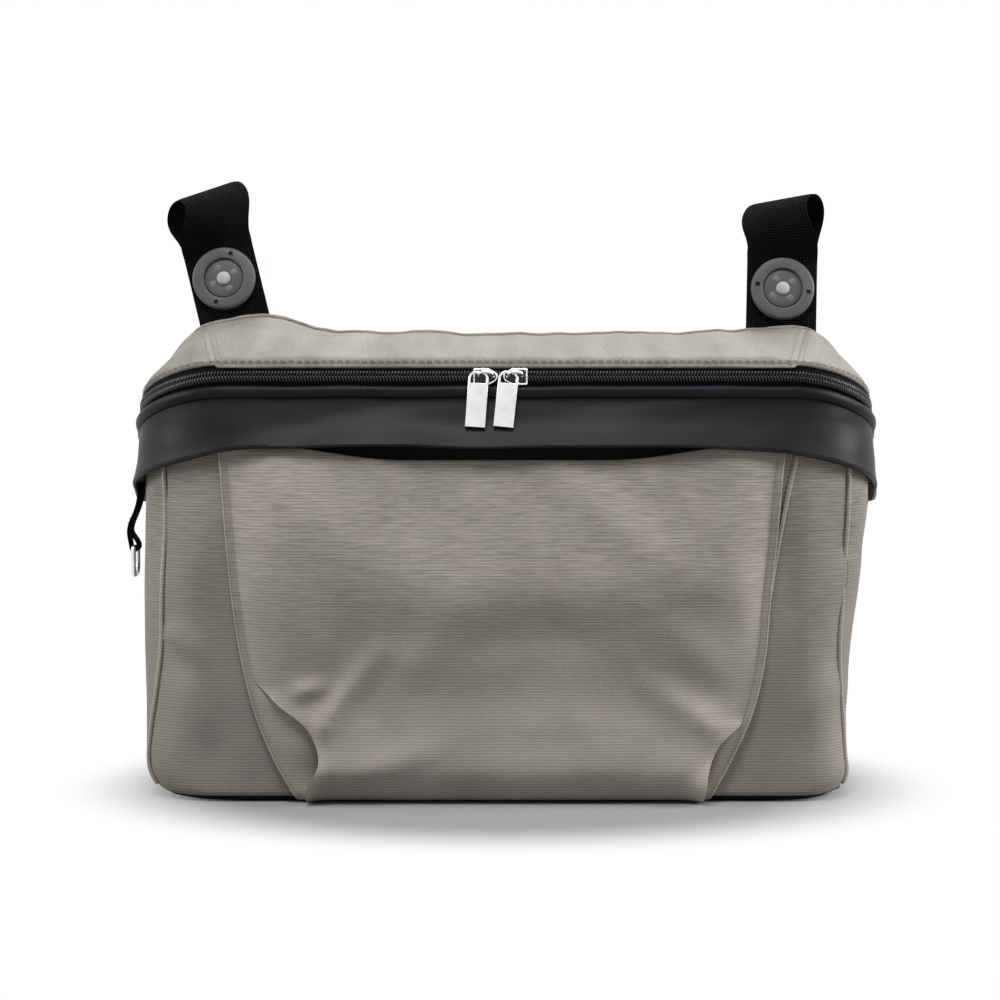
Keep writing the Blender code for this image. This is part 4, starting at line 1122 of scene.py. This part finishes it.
def add_pocket(canvas, highlight_canvas, lining, dark_thread):
    """The pocket's cloth with its tucks, its turned-in mouth, and a black sheet above it that paints the
    shade under the band.
    """
    under = []
    for point in pocket_row(POCKET_LOW_Z):
        under.append(Vector((point.x * 0.995, min(point.y + 0.005, FRONT_Y + 0.006), POCKET_LOW_Z)))
    rows = [under]
    for z in [*spread(POCKET_LOW_Z + 0.0006, 0.075, 60), *spread(0.075, POCKET_TOP_Z, 40)[1:]]:
        rows.append(pocket_row(z))
    for rise, back in MOUTH_TURN:
        row = []
        for point in pocket_row(POCKET_TOP_Z):
            off_wall = smooth(abs(point.y - FRONT_Y) / 0.004)
            row.append(point + Vector((0.0, back * off_wall, rise)))
        rows.append(row)
    # The pocket's cloth and its welt use the lighter copy of the canvas: painted light on the pocket's face.
    put_on(add_grid("pocket_cloth", rows, canvas, 0.0, 1), "bag", "front_pocket")
    # Black sheet behind the band: painted shade under the band, in the black cloth.
    across = spread(-MOUTH_STRIP_HALF, MOUTH_STRIP_HALF, 40)
    rows = [[Vector((x, FRONT_Y - MOUTH_STRIP_OUT, z)) for x in across] for z in spread(*MOUTH_STRIP_Z, 8)]
    put_on(add_grid("mouth_shade_sheet", rows, lining, 0.0005), "bag")
    path = [wall_front(x, z, 0.0012) for x, z in curve_points(WELT, 40)]
    put_on(add_tube("welt_roll", path, SEAM_RADIUS, canvas), "bag")
    for side, sign in (("left", -1.0), ("right", 1.0)):
        path = []
        for z in spread(POCKET_TOP_Z - 0.001, 0.004, 80):
            path.append(raised_end(wall_front(sign * (pocket_edge(z, sign) + 0.0004), z, 0.0040)))
        # Each turned edge is a tube in the much lighter canvas: a painted highlight along the edge.
        put_on(add_tube(f"pocket_{side}_turned_edge", path, 0.00045, highlight_canvas, 8), "bag")
    path = [wall_front(x - 0.0018, z, 0.0012) for x, z in curve_points(WELT, 40)]
    put_on(add_stitches("welt_stitches", path, FORWARD, dark_thread, 0.0026, 0.0019), "bag")


def curve_points(points, count):
    """Evenly spaced points on a smooth curve through (x, z) points, from the highest down."""
    by_height = tuple((z, x) for x, z in reversed(points))
    return [(follow(by_height, z), z) for z in spread(points[0][1], points[-1][1], count)]


def wall_front(x, z, out):
    """Point on the flat of the front wall, moved outward by out."""
    return Vector((x, FRONT_Y + edge_tuck(z, FRONT_EDGE_ROUND) - out, z))


# Cuff band


def band_low_z(u):
    """Height of the band's lower edge at station u."""
    nearest = min(u, 6.0 - u)
    return BAND_FRONT_LOW_Z - BAND_SIDE_DROP * smooth((BAND_DROP_START - nearest) / BAND_DROP_STATIONS)


def band_flare(u):
    """How far the band's lower edge stands off the wall at station u."""
    nearest = min(u, 6.0 - u)
    share = smooth((nearest - BAND_FLARE_START) / BAND_FLARE_STATIONS)
    return lerp(BAND_SIDE_FLARE, BAND_FRONT_FLARE, share)


def add_band(cuff):
    """The dark cuff, with its hem turned in and a slight wave along the edge."""
    top_rise = -(BINDING_TOP + BINDING_HEIGHT - 0.0012)
    rows = []
    marks = side_stations(0.03, 5.97, 26)
    hem = ((1.04, 0.0022), (1.055, 0.0013), (1.045, 0.0004))
    for t, inset in [*hem, *((t, 0.0) for t in reversed(spread(0.0, 1.0, 22)))]:
        row = []
        for u in marks:
            share = min(t, 1.0)
            flare = GAP + (band_flare(u) - GAP) * share**BAND_CURL
            z = lerp(ZIP_FRONT_Z - zip_drop(u) + top_rise, band_low_z(u), t)
            point = wall_at(u, max(z, 0.14), flare + BAND_THICKNESS - inset)
            wave = ripple(Vector((point.x, point.y, 0.0)), *BAND_EDGE_HILLS) * share**1.5
            point.z = z + wave * 0.8
            dent = ripple(point, *BAND_DENTS) * smooth(share * 3.0)
            row.append(point + outward_at(u, BAND_MIDDLE_Z) * (wave * 0.6 + dent))
        rows.append(row)
    put_on(add_grid("cuff_cloth_band", rows, cuff, BAND_THICKNESS * 0.6), "bag", "cuff_band")


# Zip


def add_zip(tape_cloth, coil, binding_cloth):
    """Both tapes with their rows of links, and the rounded binding under them."""
    marks = side_stations(0.04, 5.96, 30)
    for name, low, high, node in (
        ("upper_tape_cloth", TAPE_THICKNESS, UPPER_TAPE_EDGE + 0.0012, "upper_zip_tape"),
        ("lower_tape_cloth", -LOWER_TAPE_EDGE, -TAPE_THICKNESS, "lower_zip_tape"),
    ):
        rows = [[zip_at(u, rise, -TAPE_THICKNESS) for u in marks] for rise in spread(low, high, 6)]
        put_on(add_grid(name, rows, tape_cloth, TAPE_THICKNESS), "bag", node)
    rings = []
    for u in marks:
        middle = ripple(zip_at(u, 0.0, 0.0), *BINDING_HILLS) - BINDING_TOP - BINDING_HEIGHT / 2.0
        ring = []
        for angle in turn_angles(16):
            rise = middle + BINDING_HEIGHT / 2.0 * math.sin(angle)
            out = BINDING_DEPTH * (0.45 + 0.5 * math.cos(angle))
            ring.append(zip_at(u, rise, out))
        rings.append(ring)
    put_on(add_loops("binding_cloth", rings, binding_cloth), "bag", "zip_binding")
    path = [zip_at(u, 0.0, 0.0003) for u in side_stations(0.06, 5.94, 60)]
    for name, flip, node in (("upper_coil", 1.0, "upper_zip_coil"), ("lower_coil", -1.0, "lower_zip_coil")):
        put_on(add_coil_row(name, path, flip, coil), "bag", node)


def add_coil_row(name, path, flip, material):
    """Half of the zip's chain: one leaning rounded link after another, hooked over the centre line."""
    points = []
    faces = []
    sides = 6
    for place, direction in resample(path, COIL_PITCH):
        out = Vector((direction.y, -direction.x, 0.0)).normalized()
        up = out.cross(direction) * -1.0
        if up.z < 0.0:
            up = -up
        shifted = place + direction * (COIL_PITCH / 2.0 if flip < 0.0 else 0.0)
        for rise, width, lift in COIL_LINK:
            centre = shifted + up * (flip * rise) + out * lift + direction * (rise * 0.25)
            for angle in turn_angles(sides):
                offset = direction * math.cos(angle) + out * math.sin(angle)
                points.append(centre + offset * COIL_WIRE * width)
        round_links(points, faces, sides, len(COIL_LINK), flip < 0.0)
    return finish_mesh(name, points, faces, material)


# Straps and snaps


def strap_path():
    """Centre line of a webbing loop, as (forward, up) from the snap: anchor, loop, then the front layer."""
    finer = 4
    half_layer = (WEBBING_THICKNESS + LAYER_GAP) / 2.0
    half_open = LOOP_OPENING / 2.0
    turn_z = LOOP_TOP - half_open
    opening = []
    for t in spread(0.0, 1.0, 6 * finer):
        opening.append((lerp(half_layer, half_open, smooth(t)), lerp(LOOP_START, turn_z, t)))
    path = [(-half_layer, z) for z in spread(-STRAP_ANCHOR_LENGTH, LOOP_START, 8 * finer)[:-1]]
    path += [(-forward, up) for forward, up in opening]
    for angle in spread(math.pi, 0.0, 12 * finer)[1:-1]:
        path.append((half_open * math.cos(angle), turn_z + half_open * math.sin(angle)))
    path += list(reversed(opening))
    path += [(half_layer, z) for z in spread(LOOP_START, -STRAP_TAIL_LENGTH, 4 * finer)[1:]]
    return path


def lean_back(above):
    """How far the webbing has leant back at a height above its bend."""
    if above < STRAP_BEND:
        return math.sin(STRAP_LEAN_BACK) * above**2 / (2.0 * STRAP_BEND)
    return math.sin(STRAP_LEAN_BACK) * (above - STRAP_BEND / 2.0)


def strap_place(across, forward, up, strap, turning=True):
    """World position of a point of a strap: it leans back and sideways and twists above the snap."""
    loop = smooth((up - LOOP_START) / (LOOP_TOP - LOOP_START))
    turn = strap["twist"] * loop if turning else 0.0
    turned_across = across * math.cos(turn) + forward * math.sin(turn)
    turned_forward = forward * math.cos(turn) - across * math.sin(turn)
    above = max(0.0, up + STRAP_TAIL_LENGTH)
    lean = strap["lean"]
    side_x = strap["x"] + turned_across * math.cos(lean) + up * math.sin(lean)
    side_z = strap["z"] + up * math.cos(lean) - turned_across * math.sin(lean)
    if turning:
        side_z += turned_across * LOOP_TILT * loop
    seat_y = BACK_Y + GAP + WEBBING_THICKNESS * 1.5 + LAYER_GAP + GAP
    centre_y = seat_y - (WEBBING_THICKNESS + LAYER_GAP) / 2.0
    return Vector((side_x, centre_y - turned_forward + lean_back(above), side_z))


def add_strap(side, strap, webbing, thread_material):
    """Webbing as a band with rounded edges, swept along its path, and its sewn box and cross."""
    path = strap_path()
    half_width = WEBBING_WIDTH / 2.0
    half_thick = WEBBING_THICKNESS / 2.0
    columns = 20
    rings = []
    for i, (forward, up) in enumerate(path):
        before = Vector(path[max(i - 1, 0)])
        after = Vector(path[min(i + 1, len(path) - 1)])
        run = (after - before).normalized()
        normal = Vector((run.y, -run.x))
        ring = []
        for sign, order in ((1.0, range(columns + 1)), (-1.0, range(columns, -1, -1))):
            for k in order:
                share = 2.0 * k / columns - 1.0
                thin = half_thick * (1.0 - 0.55 * abs(share) ** 16)
                shift = normal * (sign * thin)
                ring.append(strap_place(share * half_width, forward + shift.x, up + shift.y, strap))
        rings.append(ring)
    band = add_loops(f"{side}_webbing", rings, webbing)
    put_on(band, "bag", f"{side}_strap")
    rear = -WEBBING_THICKNESS - LAYER_GAP / 2.0 - 0.0001
    low_left, low_right, high_right, high_left = STRAP_BOX
    box = (*STRAP_BOX, low_left, high_right, high_left, low_right)
    path = []
    for (start_x, start_up), (end_x, end_up) in zip(box, box[1:]):
        for t in spread(0.0, 1.0, 12):
            path.append(strap_place(lerp(start_x, end_x, t), rear, lerp(start_up, end_up, t), strap))
    put_on(add_stitches(f"{side}_strap_stitches", path, -FORWARD, thread_material), "bag")


def snap_placing(strap):
    """Placing matrix of a snap: local -Y is out of the strap's front face."""

    def on_strap(across, up):
        return strap_place(across, 0.0, up, strap, False)

    across = on_strap(0.006, 0.0) - on_strap(-0.006, 0.0)
    up = on_strap(0.0, 0.006) - on_strap(0.0, -0.006)
    x_axis = across.normalized()
    y_axis = up.cross(across).normalized()
    z_axis = x_axis.cross(y_axis)
    placing = Matrix((x_axis, y_axis, z_axis)).transposed().to_4x4()
    placing.translation = on_strap(0.0, 0.0)
    return placing


# Turned profiles as radius and height
SNAP_PROFILE = (
    (0.0001, 0.0029), (0.0060, 0.0028), (0.0098, 0.0029), (0.0102, 0.0027), (0.0103, 0.0018),
    (0.0108, 0.0018), (0.0110, 0.0038), (0.0113, 0.0041), (0.0119, 0.0042), (0.0158, 0.0041),
    (0.0166, 0.0038), (0.0171, 0.0031), (0.0172, 0.0012), (0.0168, 0.0002), (0.0001, 0.0),
)
SNAP_BACK_PROFILE = (
    (0.0001, 0.0022), (0.0095, 0.0024), (0.0112, 0.0020), (0.0119, 0.0010), (0.0117, 0.0001), (0.0001, 0.0),
)
STUD_PROFILE = (
    (0.0001, 0.0014), (0.0022, 0.0013), (0.0031, 0.0010), (0.0036, 0.0004), (0.0037, -0.0004),
    (0.0001, -0.0004),
)
PAD_PROFILE = ((0.0001, 0.0004), (0.0014, 0.0003), (0.0021, 0.0000), (0.0024, -0.0005), (0.0001, -0.0005))
SNAP_HOLE_PROFILE = ((0.0013, 0.0050), (0.0013, 0.0024))
SNAP_HOLE_REACH = 0.0139
PAD_REACH = 0.0066
STUD_HEIGHT = 0.0032
PAD_HEIGHT = 0.0028


def round_disc(reach, angle, height):
    """Shift of a small piece to a place on a snap's face."""
    return reach * math.cos(angle), -height, reach * math.sin(angle)


def add_snap(side, strap, plastic, pad_plastic, stud_plastic):
    """The disc: a flat rim with two spanner holes, a deep groove, a dish with four pads and a stud."""
    layers = WEBBING_THICKNESS + LAYER_GAP / 2.0 + 0.0007
    placing = snap_placing(strap)
    cap = seat(add_lathe(f"{side}_snap_disc", SNAP_PROFILE, plastic, 72), (0.0, -layers, 0.0), placing)
    holes = []
    for index in range(2):
        angle = strap["holes"] + index * math.pi
        hole = add_lathe(f"{side}_hole_{index}", SNAP_HOLE_PROFILE, plastic, 20)
        holes.append(seat(hole, round_disc(SNAP_HOLE_REACH, angle, layers), placing))
    for hole in holes:
        cut = cap.modifiers.new("spanner hole", "BOOLEAN")
        cut.operation = "DIFFERENCE"
        cut.solver = "EXACT"
        cut.object = hole
    apply_modifiers(cap)
    for hole in holes:
        bpy.data.objects.remove(hole, do_unlink=True)
    put_on(cap, "bag", f"{side}_snap_cap")
    stud = add_lathe(f"{side}_snap_stud", STUD_PROFILE, stud_plastic, 32)
    put_on(seat(stud, (0.0, -layers - STUD_HEIGHT, 0.0), placing), "bag")
    for index in range(4):
        angle = strap["holes"] + math.pi / 4.0 + index * math.pi / 2.0
        pad = add_lathe(f"{side}_snap_pad_{index}", PAD_PROFILE, pad_plastic, 20)
        put_on(seat(pad, round_disc(PAD_REACH, angle, layers + PAD_HEIGHT), placing), "bag")
    back = add_lathe(f"{side}_snap_back", SNAP_BACK_PROFILE, plastic)
    back.data.transform(Matrix.Rotation(math.pi, 4, "Z"))
    put_on(seat(back, (0.0, layers, 0.0), placing), "bag", f"{side}_snap_post")


# Sliders, pulls, side tab and ring


SLIDERS = {
    "left": {"x": -0.0101, "nose": 1.0, "pull_lean": math.radians(-4)},
    "right": {"x": 0.0046, "nose": -1.0, "pull_lean": math.radians(-6)},
}
SLIDER_PLATE = 0.0012
SLIDER_FACE = 0.0014 + GAP + SLIDER_PLATE
SLIDER_INNER_Y = 0.0028
SLIDER_HALF_HIGH = 0.0041
SLIDER_CORNER = 0.0008
SLIDER_HALF = 0.006
BAIL_LEG_X = 0.0033
BAIL_RISE = 0.0042
BAIL_WIRE = 0.00080
BAIL_HUMP = 0.0024
BAIL_FOOT = 0.0004
PULL_HALF = 0.00495
PULL_TOP = 0.0026
PULL_EYE_LOW = -0.0039
PULL_END = -0.0252
PULL_THICKNESS = 0.0012
PULL_CORNER = 0.0036
PULL_RIM = 0.0012
PULL_TILT = math.radians(-10.5)


def arc(centre_x, centre_z, radius, start, end, count):
    """Points along an arc in X and Z, with its angles in degrees."""
    made = []
    for angle in spread(math.radians(start), math.radians(end), count):
        made.append((centre_x + radius * math.cos(angle), centre_z + radius * math.sin(angle)))
    return made


def add_plate(name, outlines, thickness, bevel, material):
    """A flat plate in X and Z with rounded edges. The outlines after the first are holes."""
    curve = bpy.data.curves.new(name, "CURVE")
    curve.dimensions = "2D"
    curve.fill_mode = "BOTH"
    curve.extrude = thickness / 2.0 - bevel
    curve.bevel_depth = bevel
    curve.bevel_resolution = 2
    curve.offset = -bevel
    for outline in outlines:
        spline = curve.splines.new("POLY")
        spline.points.add(len(outline) - 1)
        for point, (x, z) in zip(spline.points, outline):
            point.co = (x, z, 0.0, 1.0)
        spline.use_cyclic_u = True
    shape = add_object(f"{name}_shape", curve)
    bpy.context.view_layer.update()
    mesh = bpy.data.meshes.new_from_object(shape)
    bpy.data.objects.remove(shape, do_unlink=True)
    mesh.transform(Matrix.Rotation(math.pi / 2.0, 4, "X"))
    mesh.materials.clear()
    mesh.materials.append(material)
    mesh.shade_smooth()
    mesh.set_sharp_from_angle(angle=math.radians(40))
    return add_object(name, mesh)


def add_slider(side, metal, painted_reflection_black):
    """The slider's rounded front plate with a recess whose black floor paints the dark reflection of the
    plated face, its post and the bent wire of the bail.
    """
    slider = SLIDERS[side]
    nose = slider["nose"]
    back_x = -SLIDER_HALF + SLIDER_CORNER
    nose_x = SLIDER_HALF - 0.0045
    high = SLIDER_HALF_HIGH
    corner_z = high - SLIDER_CORNER
    outline = arc(back_x, corner_z, SLIDER_CORNER, 180, 90, 4) + [(nose_x, high)]
    outline += arc(SLIDER_HALF - 0.0030, 0.0, 0.0030, 62, -62, 10)
    outline += [(nose_x, -high)] + arc(back_x, -corner_z, SLIDER_CORNER, 270, 180, 4)
    if nose < 0.0:
        outline = [(-x, z) for x, z in reversed(outline)]
    recess = [(x * 0.86, z * 0.78) for x, z in outline]
    recess_floor = [(x * 0.93, z * 0.90) for x, z in outline]
    placing = Matrix.Translation((slider["x"], FRONT_Y, ZIP_FRONT_Z))
    plate = add_plate(f"{side}_slider_plate", [outline, recess], SLIDER_PLATE, 0.0003, metal)
    seat(plate, (0.0, -SLIDER_FACE + SLIDER_PLATE / 2.0, 0.0), placing)
    put_on(plate, f"{side}_slider", f"{side}_zip_slider")
    # The recess floor in black plastic is a painted reflection: the dark that the plated face mirrors.
    floor = add_plate(f"{side}_slider_recess", [recess_floor], 0.0005, 0.0001, painted_reflection_black)
    put_on(seat(floor, (0.0, -SLIDER_FACE + 0.0009, 0.0), placing), f"{side}_slider")
    inner = add_plate(f"{side}_slider_inner_plate", [outline], SLIDER_PLATE, 0.0004, metal)
    put_on(seat(inner, (0.0, SLIDER_INNER_Y, 0.0), placing), f"{side}_slider")
    post_x = nose * (SLIDER_HALF - 0.0019)
    path = [Vector((post_x, y, 0.0)) for y in (-SLIDER_FACE + 0.0004, 0.0, SLIDER_INNER_Y)]
    post = add_tube(f"{side}_slider_post", path, 0.0005, metal, 8)
    post.matrix_world = placing
    put_on(post, f"{side}_slider")
    path = []
    for t in spread(0.0, 1.0, 28):
        x = -BAIL_LEG_X + 2.0 * BAIL_LEG_X * smooth((t - 0.16) / 0.68)
        rise = max(0.0, math.sin(math.pi * t)) ** 0.55
        out = (BAIL_RISE - BAIL_WIRE + BAIL_FOOT) * rise - BAIL_FOOT
        path.append(Vector((x, -SLIDER_FACE - out, BAIL_HUMP * math.sin(math.pi * t))))
    bail = add_tube(f"{side}_bail", path, BAIL_WIRE, metal, 12)
    bail.matrix_world = placing
    put_on(bail, f"{side}_slider")


def pull_top(radius):
    """Both rounded top corners of a pull or of its eye, from right to left."""
    x = PULL_HALF - PULL_CORNER
    z = PULL_TOP - PULL_CORNER
    return arc(x, z, radius, 0, 90, 8) + arc(-x, z, radius, 90, 180, 8)


def add_pull(side, metal):
    """A flat plate with rounded edges and an eye at its top."""
    slider = SLIDERS[side]
    half = PULL_HALF
    outer = [(-half, PULL_EYE_LOW), (-half, PULL_END), (half, PULL_END), (half, PULL_EYE_LOW)]
    outer += pull_top(PULL_CORNER)
    eye_low = PULL_EYE_LOW + 0.0006
    eye = [(-half + PULL_RIM, eye_low), (half - PULL_RIM, eye_low), *pull_top(PULL_CORNER - PULL_RIM)]
    plate = add_plate(f"{side}_pull_plate", [outer, eye], PULL_THICKNESS, 0.0003, metal)
    leg_y = FRONT_Y - (SLIDER_FACE + BAIL_RISE - 0.0014 - 2.0 * GAP - PULL_THICKNESS / 2.0)
    placing = Matrix.Translation((slider["x"] - BAIL_LEG_X, leg_y, ZIP_FRONT_Z))
    placing @= Matrix.Rotation(PULL_TILT, 4, "X") @ Matrix.Rotation(-slider["pull_lean"], 4, "Y")
    plate.matrix_world = placing
    put_on(plate, f"{side}_pull", f"{side}_zip_pull")


TAB_Y = 0.004
TAB_WIDTH = 0.020
TAB_THICKNESS = 0.0011
TAB_TOP_Z = 0.157
RING_WIRE = 0.0024
RING_BAR_Z = 0.1235
RING_BAR_OUT = 0.0062
RING_INNER_WIDTH = 0.0225
RING_DROP = 0.0145
RING_BEND = 0.006
RING_CORNER = 0.0012


def tab_station(z):
    """Station of the tab on the left side at height z."""
    side_length = BACK_Y - wall_frame(1.0, z)[0].y
    return (BACK_Y - TAB_Y) / side_length


def tab_placing():
    """Frame of the tab: its origin under the wall at the ring's height, its -X out of the wall."""
    point, out = wall_frame(tab_station(RING_BAR_Z), RING_BAR_Z)
    turn = math.atan2(out.y, out.x) - math.pi
    return Matrix.Translation((point.x, point.y, 0.0)) @ Matrix.Rotation(turn, 4, "Z")


def add_tab(webbing, dark_thread):
    """Webbing folded round the ring's bar and sewn together above it."""
    wall = tab_placing().inverted() @ wall_at(tab_station(TAB_TOP_Z), TAB_TOP_Z)
    inner_x = wall.x - 0.0006 - TAB_THICKNESS / 2.0
    outer_x = inner_x - TAB_THICKNESS - 0.0001
    turn = RING_WIRE / 2.0 + GAP + TAB_THICKNESS / 2.0
    bar = (-RING_BAR_OUT, RING_BAR_Z)
    neck_z = RING_BAR_Z + 0.0095
    outer = (
        (RING_BAR_Z, bar[0] - turn),
        (neck_z, bar[0] - turn - 0.0010),
        (lerp(neck_z, TAB_TOP_Z, 0.5), lerp(bar[0] - turn, outer_x, 0.62)),
        (TAB_TOP_Z, outer_x),
    )

    def inner_at(z):
        beside = follow(outer, z) + TAB_THICKNESS + 0.0002
        return lerp(bar[0] + turn, beside, smooth((z - RING_BAR_Z) / 0.0085))

    path = [(follow(outer, z), z) for z in spread(TAB_TOP_Z, RING_BAR_Z, 26)]
    path += arc(bar[0], bar[1], turn, 180, 360, 14)[1:-1]
    path += [(inner_at(z), z) for z in spread(RING_BAR_Z, TAB_TOP_Z, 26)]
    rings = []
    for i, point in enumerate(path):
        run = (Vector(path[min(i + 1, len(path) - 1)]) - Vector(path[max(i - 1, 0)])).normalized()
        normal = Vector((run.y, -run.x)) * (TAB_THICKNESS / 2.0)
        ring = []
        for sign, order in ((1.0, range(11)), (-1.0, range(10, -1, -1))):
            for k in order:
                share = k / 5.0 - 1.0
                shift = normal * (sign * (1.0 - 0.5 * abs(share) ** 12))
                ring.append(Vector((point[0] + shift.x, share * TAB_WIDTH / 2.0, point[1] + shift.y)))
        rings.append(ring)
    tab = add_loops("side_tab_webbing", rings, webbing)
    placing = tab_placing()
    tab.matrix_world = placing
    put_on(tab, "bag", "left_side_tab")
    out = Vector((-1.0, 0.0, 0.2)).normalized()
    for index, z in enumerate((neck_z + 0.003, neck_z + 0.0052)):
        x = follow(outer, z) - TAB_THICKNESS / 2.0
        path = [placing @ Vector((x, share * TAB_WIDTH / 2.0, z)) for share in (-0.85, 0.0, 0.85)]
        put_on(add_stitches(f"tab_stitches_{index}", path, out, dark_thread, 0.0024, 0.0017), "bag")


def add_ring(metal):
    """A D shaped ring of round wire. Its straight bar lies in the tab's fold."""
    half = (RING_INNER_WIDTH + RING_WIRE) / 2.0
    low_y = half - RING_BEND
    low_z = RING_BEND - RING_DROP
    bar_y = half - RING_CORNER
    outline = arc(low_y, low_z, RING_BEND, 0, -90, 14) + arc(-low_y, low_z, RING_BEND, -90, -180, 14)
    outline += arc(-bar_y, -RING_CORNER, RING_CORNER, 180, 90, 5)
    outline += arc(bar_y, -RING_CORNER, RING_CORNER, 90, 0, 5)
    path = [Vector((0.0, y, z)) for y, z in outline]
    ring = add_tube("side_ring_wire", path, RING_WIRE / 2.0, metal, 16, True)
    ring.matrix_world = tab_placing() @ Matrix.Translation((-RING_BAR_OUT, 0.0, RING_BAR_Z))
    put_on(ring, "ring", "side_ring")


# Studio


def seen_directly(tree):
    """1 for what the camera, a reflection or glass shows, and 0 for the light that falls on things."""
    path = tree.nodes.new("ShaderNodeLightPath")
    total = None
    for ray in ("Is Camera Ray", "Is Glossy Ray", "Is Transmission Ray"):
        if total is None:
            total = path.outputs[ray]
            continue
        larger = tree.nodes.new("ShaderNodeMath")
        larger.operation = "MAXIMUM"
        tree.links.new(total, larger.inputs[0])
        tree.links.new(path.outputs[ray], larger.inputs[1])
        total = larger.outputs[0]
    return total


def add_floor():
    """A grey floor that fades into white for the camera away from the object: the grey oval round the object
    is a painted shadow, and the object's cast shadow falls in it too.
    """
    mesh = bpy.data.meshes.new("floor")
    half = FLOOR_HALF
    corners = [(-half, -half, 0), (half, -half, 0), (half, half, 0), (-half, half, 0)]
    mesh.from_pydata(corners, [], [(0, 1, 2, 3)])
    floor = add_object("floor", mesh)
    shader = Shader("pale_floor", FLOOR_COLOUR, 0.9)
    glow = shader.node("ShaderNodeEmission", Color=WHITE, Strength=1.0)
    away = shader.node("ShaderNodeVectorMath")
    away.operation = "LENGTH"
    shader.link(shader.place(SHADOW_OVAL), away.inputs[0])
    # Painted shadow: the floor stays grey near the object and turns white farther out.
    fade = shader.span(away.outputs["Value"], *SHADOW_FADE, 0.0, 1.0)
    fade.node.interpolation_type = "SMOOTHSTEP"
    share = shader.node("ShaderNodeMath")
    share.operation = "MULTIPLY"
    shader.link(seen_directly(shader.tree), share.inputs[0])
    shader.link(fade, share.inputs[1])
    blend = shader.node("ShaderNodeMixShader")
    shader.link(share.outputs[0], blend.inputs["Fac"])
    shader.link(shader.main.outputs["BSDF"], blend.inputs[1])
    shader.link(glow.outputs["Emission"], blend.inputs[2])
    shader.link(blend.outputs["Shader"], shader.tree.nodes["Material Output"].inputs["Surface"])
    mesh.materials.append(shader.material)


def add_world():
    """Weak even light, and white where the camera sees past the floor."""
    world = bpy.data.worlds.new("studio")
    bpy.context.scene.world = world
    world.use_nodes = True
    tree = world.node_tree
    lit = tree.nodes["Background"]
    plain = tree.nodes.new("ShaderNodeBackground")
    for node, colour, strength in ((lit, SKY, SKY_STRENGTH), (plain, WHITE, 1.0)):
        node.inputs["Color"].default_value = colour
        node.inputs["Strength"].default_value = strength
    blend = tree.nodes.new("ShaderNodeMixShader")
    tree.links.new(seen_directly(tree), blend.inputs["Fac"])
    tree.links.new(lit.outputs["Background"], blend.inputs[1])
    tree.links.new(plain.outputs["Background"], blend.inputs[2])
    tree.links.new(blend.outputs["Shader"], tree.nodes["World Output"].inputs["Surface"])


def add_lamps():
    for name, place, aim, power in LAMPS:
        data = bpy.data.lights.new(name, "AREA")
        data.size = LAMP_SIZE
        data.energy = power
        light = add_object(name, data)
        light.location = place
        light.rotation_euler = (Vector(aim) - Vector(place)).to_track_quat("-Z", "Y").to_euler()


def add_camera():
    """The camera of the photo."""
    data = bpy.data.cameras.new("camera")
    data.lens = LENS_MM
    data.sensor_width = SENSOR_MM
    data.sensor_fit = "HORIZONTAL"
    data.shift_x = (PICTURE_SIZE / 2.0 - TARGET_PIXEL_X) / PICTURE_SIZE
    data.shift_y = (TARGET_PIXEL_Y - PICTURE_SIZE / 2.0) / PICTURE_SIZE
    camera = add_object("camera", data)
    away = Vector((0.0, -math.cos(CAMERA_ELEVATION), math.sin(CAMERA_ELEVATION)))
    camera.location = CAMERA_TARGET + away * CAMERA_DISTANCE
    camera.rotation_euler = (math.pi / 2.0 - CAMERA_ELEVATION, 0.0, 0.0)
    bpy.context.scene.camera = camera


def add_studio():
    """Pale floor, soft lights and the camera."""
    add_floor()
    add_world()
    add_lamps()
    add_camera()
    bpy.context.scene.view_settings.view_transform = "Standard"


def main():
    """Loads the CAD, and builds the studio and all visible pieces."""
    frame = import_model()
    add_studio()
    canvas = ribbed_canvas("ribbed_canvas", 1.05)
    # The pocket is the same canvas in a lighter copy: painted light, for the light that its swelling face
    # catches.
    pocket_cloth = ribbed_canvas("pocket_lit_canvas", 1.38)
    # Seams and the pocket's turned edges get a much lighter copy of the canvas: painted highlight, for the
    # light their ridges catch.
    highlight_canvas = ribbed_canvas("highlight_edge_canvas", 1.6)
    lid = lid_canvas()
    cuff = cuff_cloth()
    black = black_cloth("black_cloth", 0.8)
    binding = black_cloth("binding_satin", 0.45)
    webbing = webbing_cloth()
    coil = coil_plastic()
    grey = snap_plastic("snap_plastic", 0.096)
    pad_grey = snap_plastic("pad_plastic", 0.155)
    light_grey = snap_plastic("stud_plastic", 0.40)
    metal = polished_metal()
    board = board_plastic()
    beige_thread = thread("beige_thread", (0.30, 0.27, 0.225))
    black_thread = thread("black_thread", (0.02, 0.02, 0.022))

    add_walls(canvas, highlight_canvas)
    add_lid(lid, beige_thread)
    add_back(canvas)
    add_base(black)
    add_lining(black)
    add_pocket(pocket_cloth, highlight_canvas, black, black_thread)
    add_band(cuff)
    add_zip(black, coil, binding)
    for side, strap in STRAPS.items():
        add_strap(side, strap, webbing, black_thread)
        add_snap(side, strap, grey, pad_grey, light_grey)

    for side in SLIDERS:
        add_slider(side, metal, coil)
        add_pull(side, metal)
    add_tab(webbing, black_thread)
    add_ring(metal)

    kept = {"base_board": board, "back_board": board, "left_zip_stop": metal, "right_zip_stop": metal}
    for node, material in kept.items():
        mesh = frame["nodes"][node].data
        mesh.materials.clear()
        mesh.materials.append(material)


main()
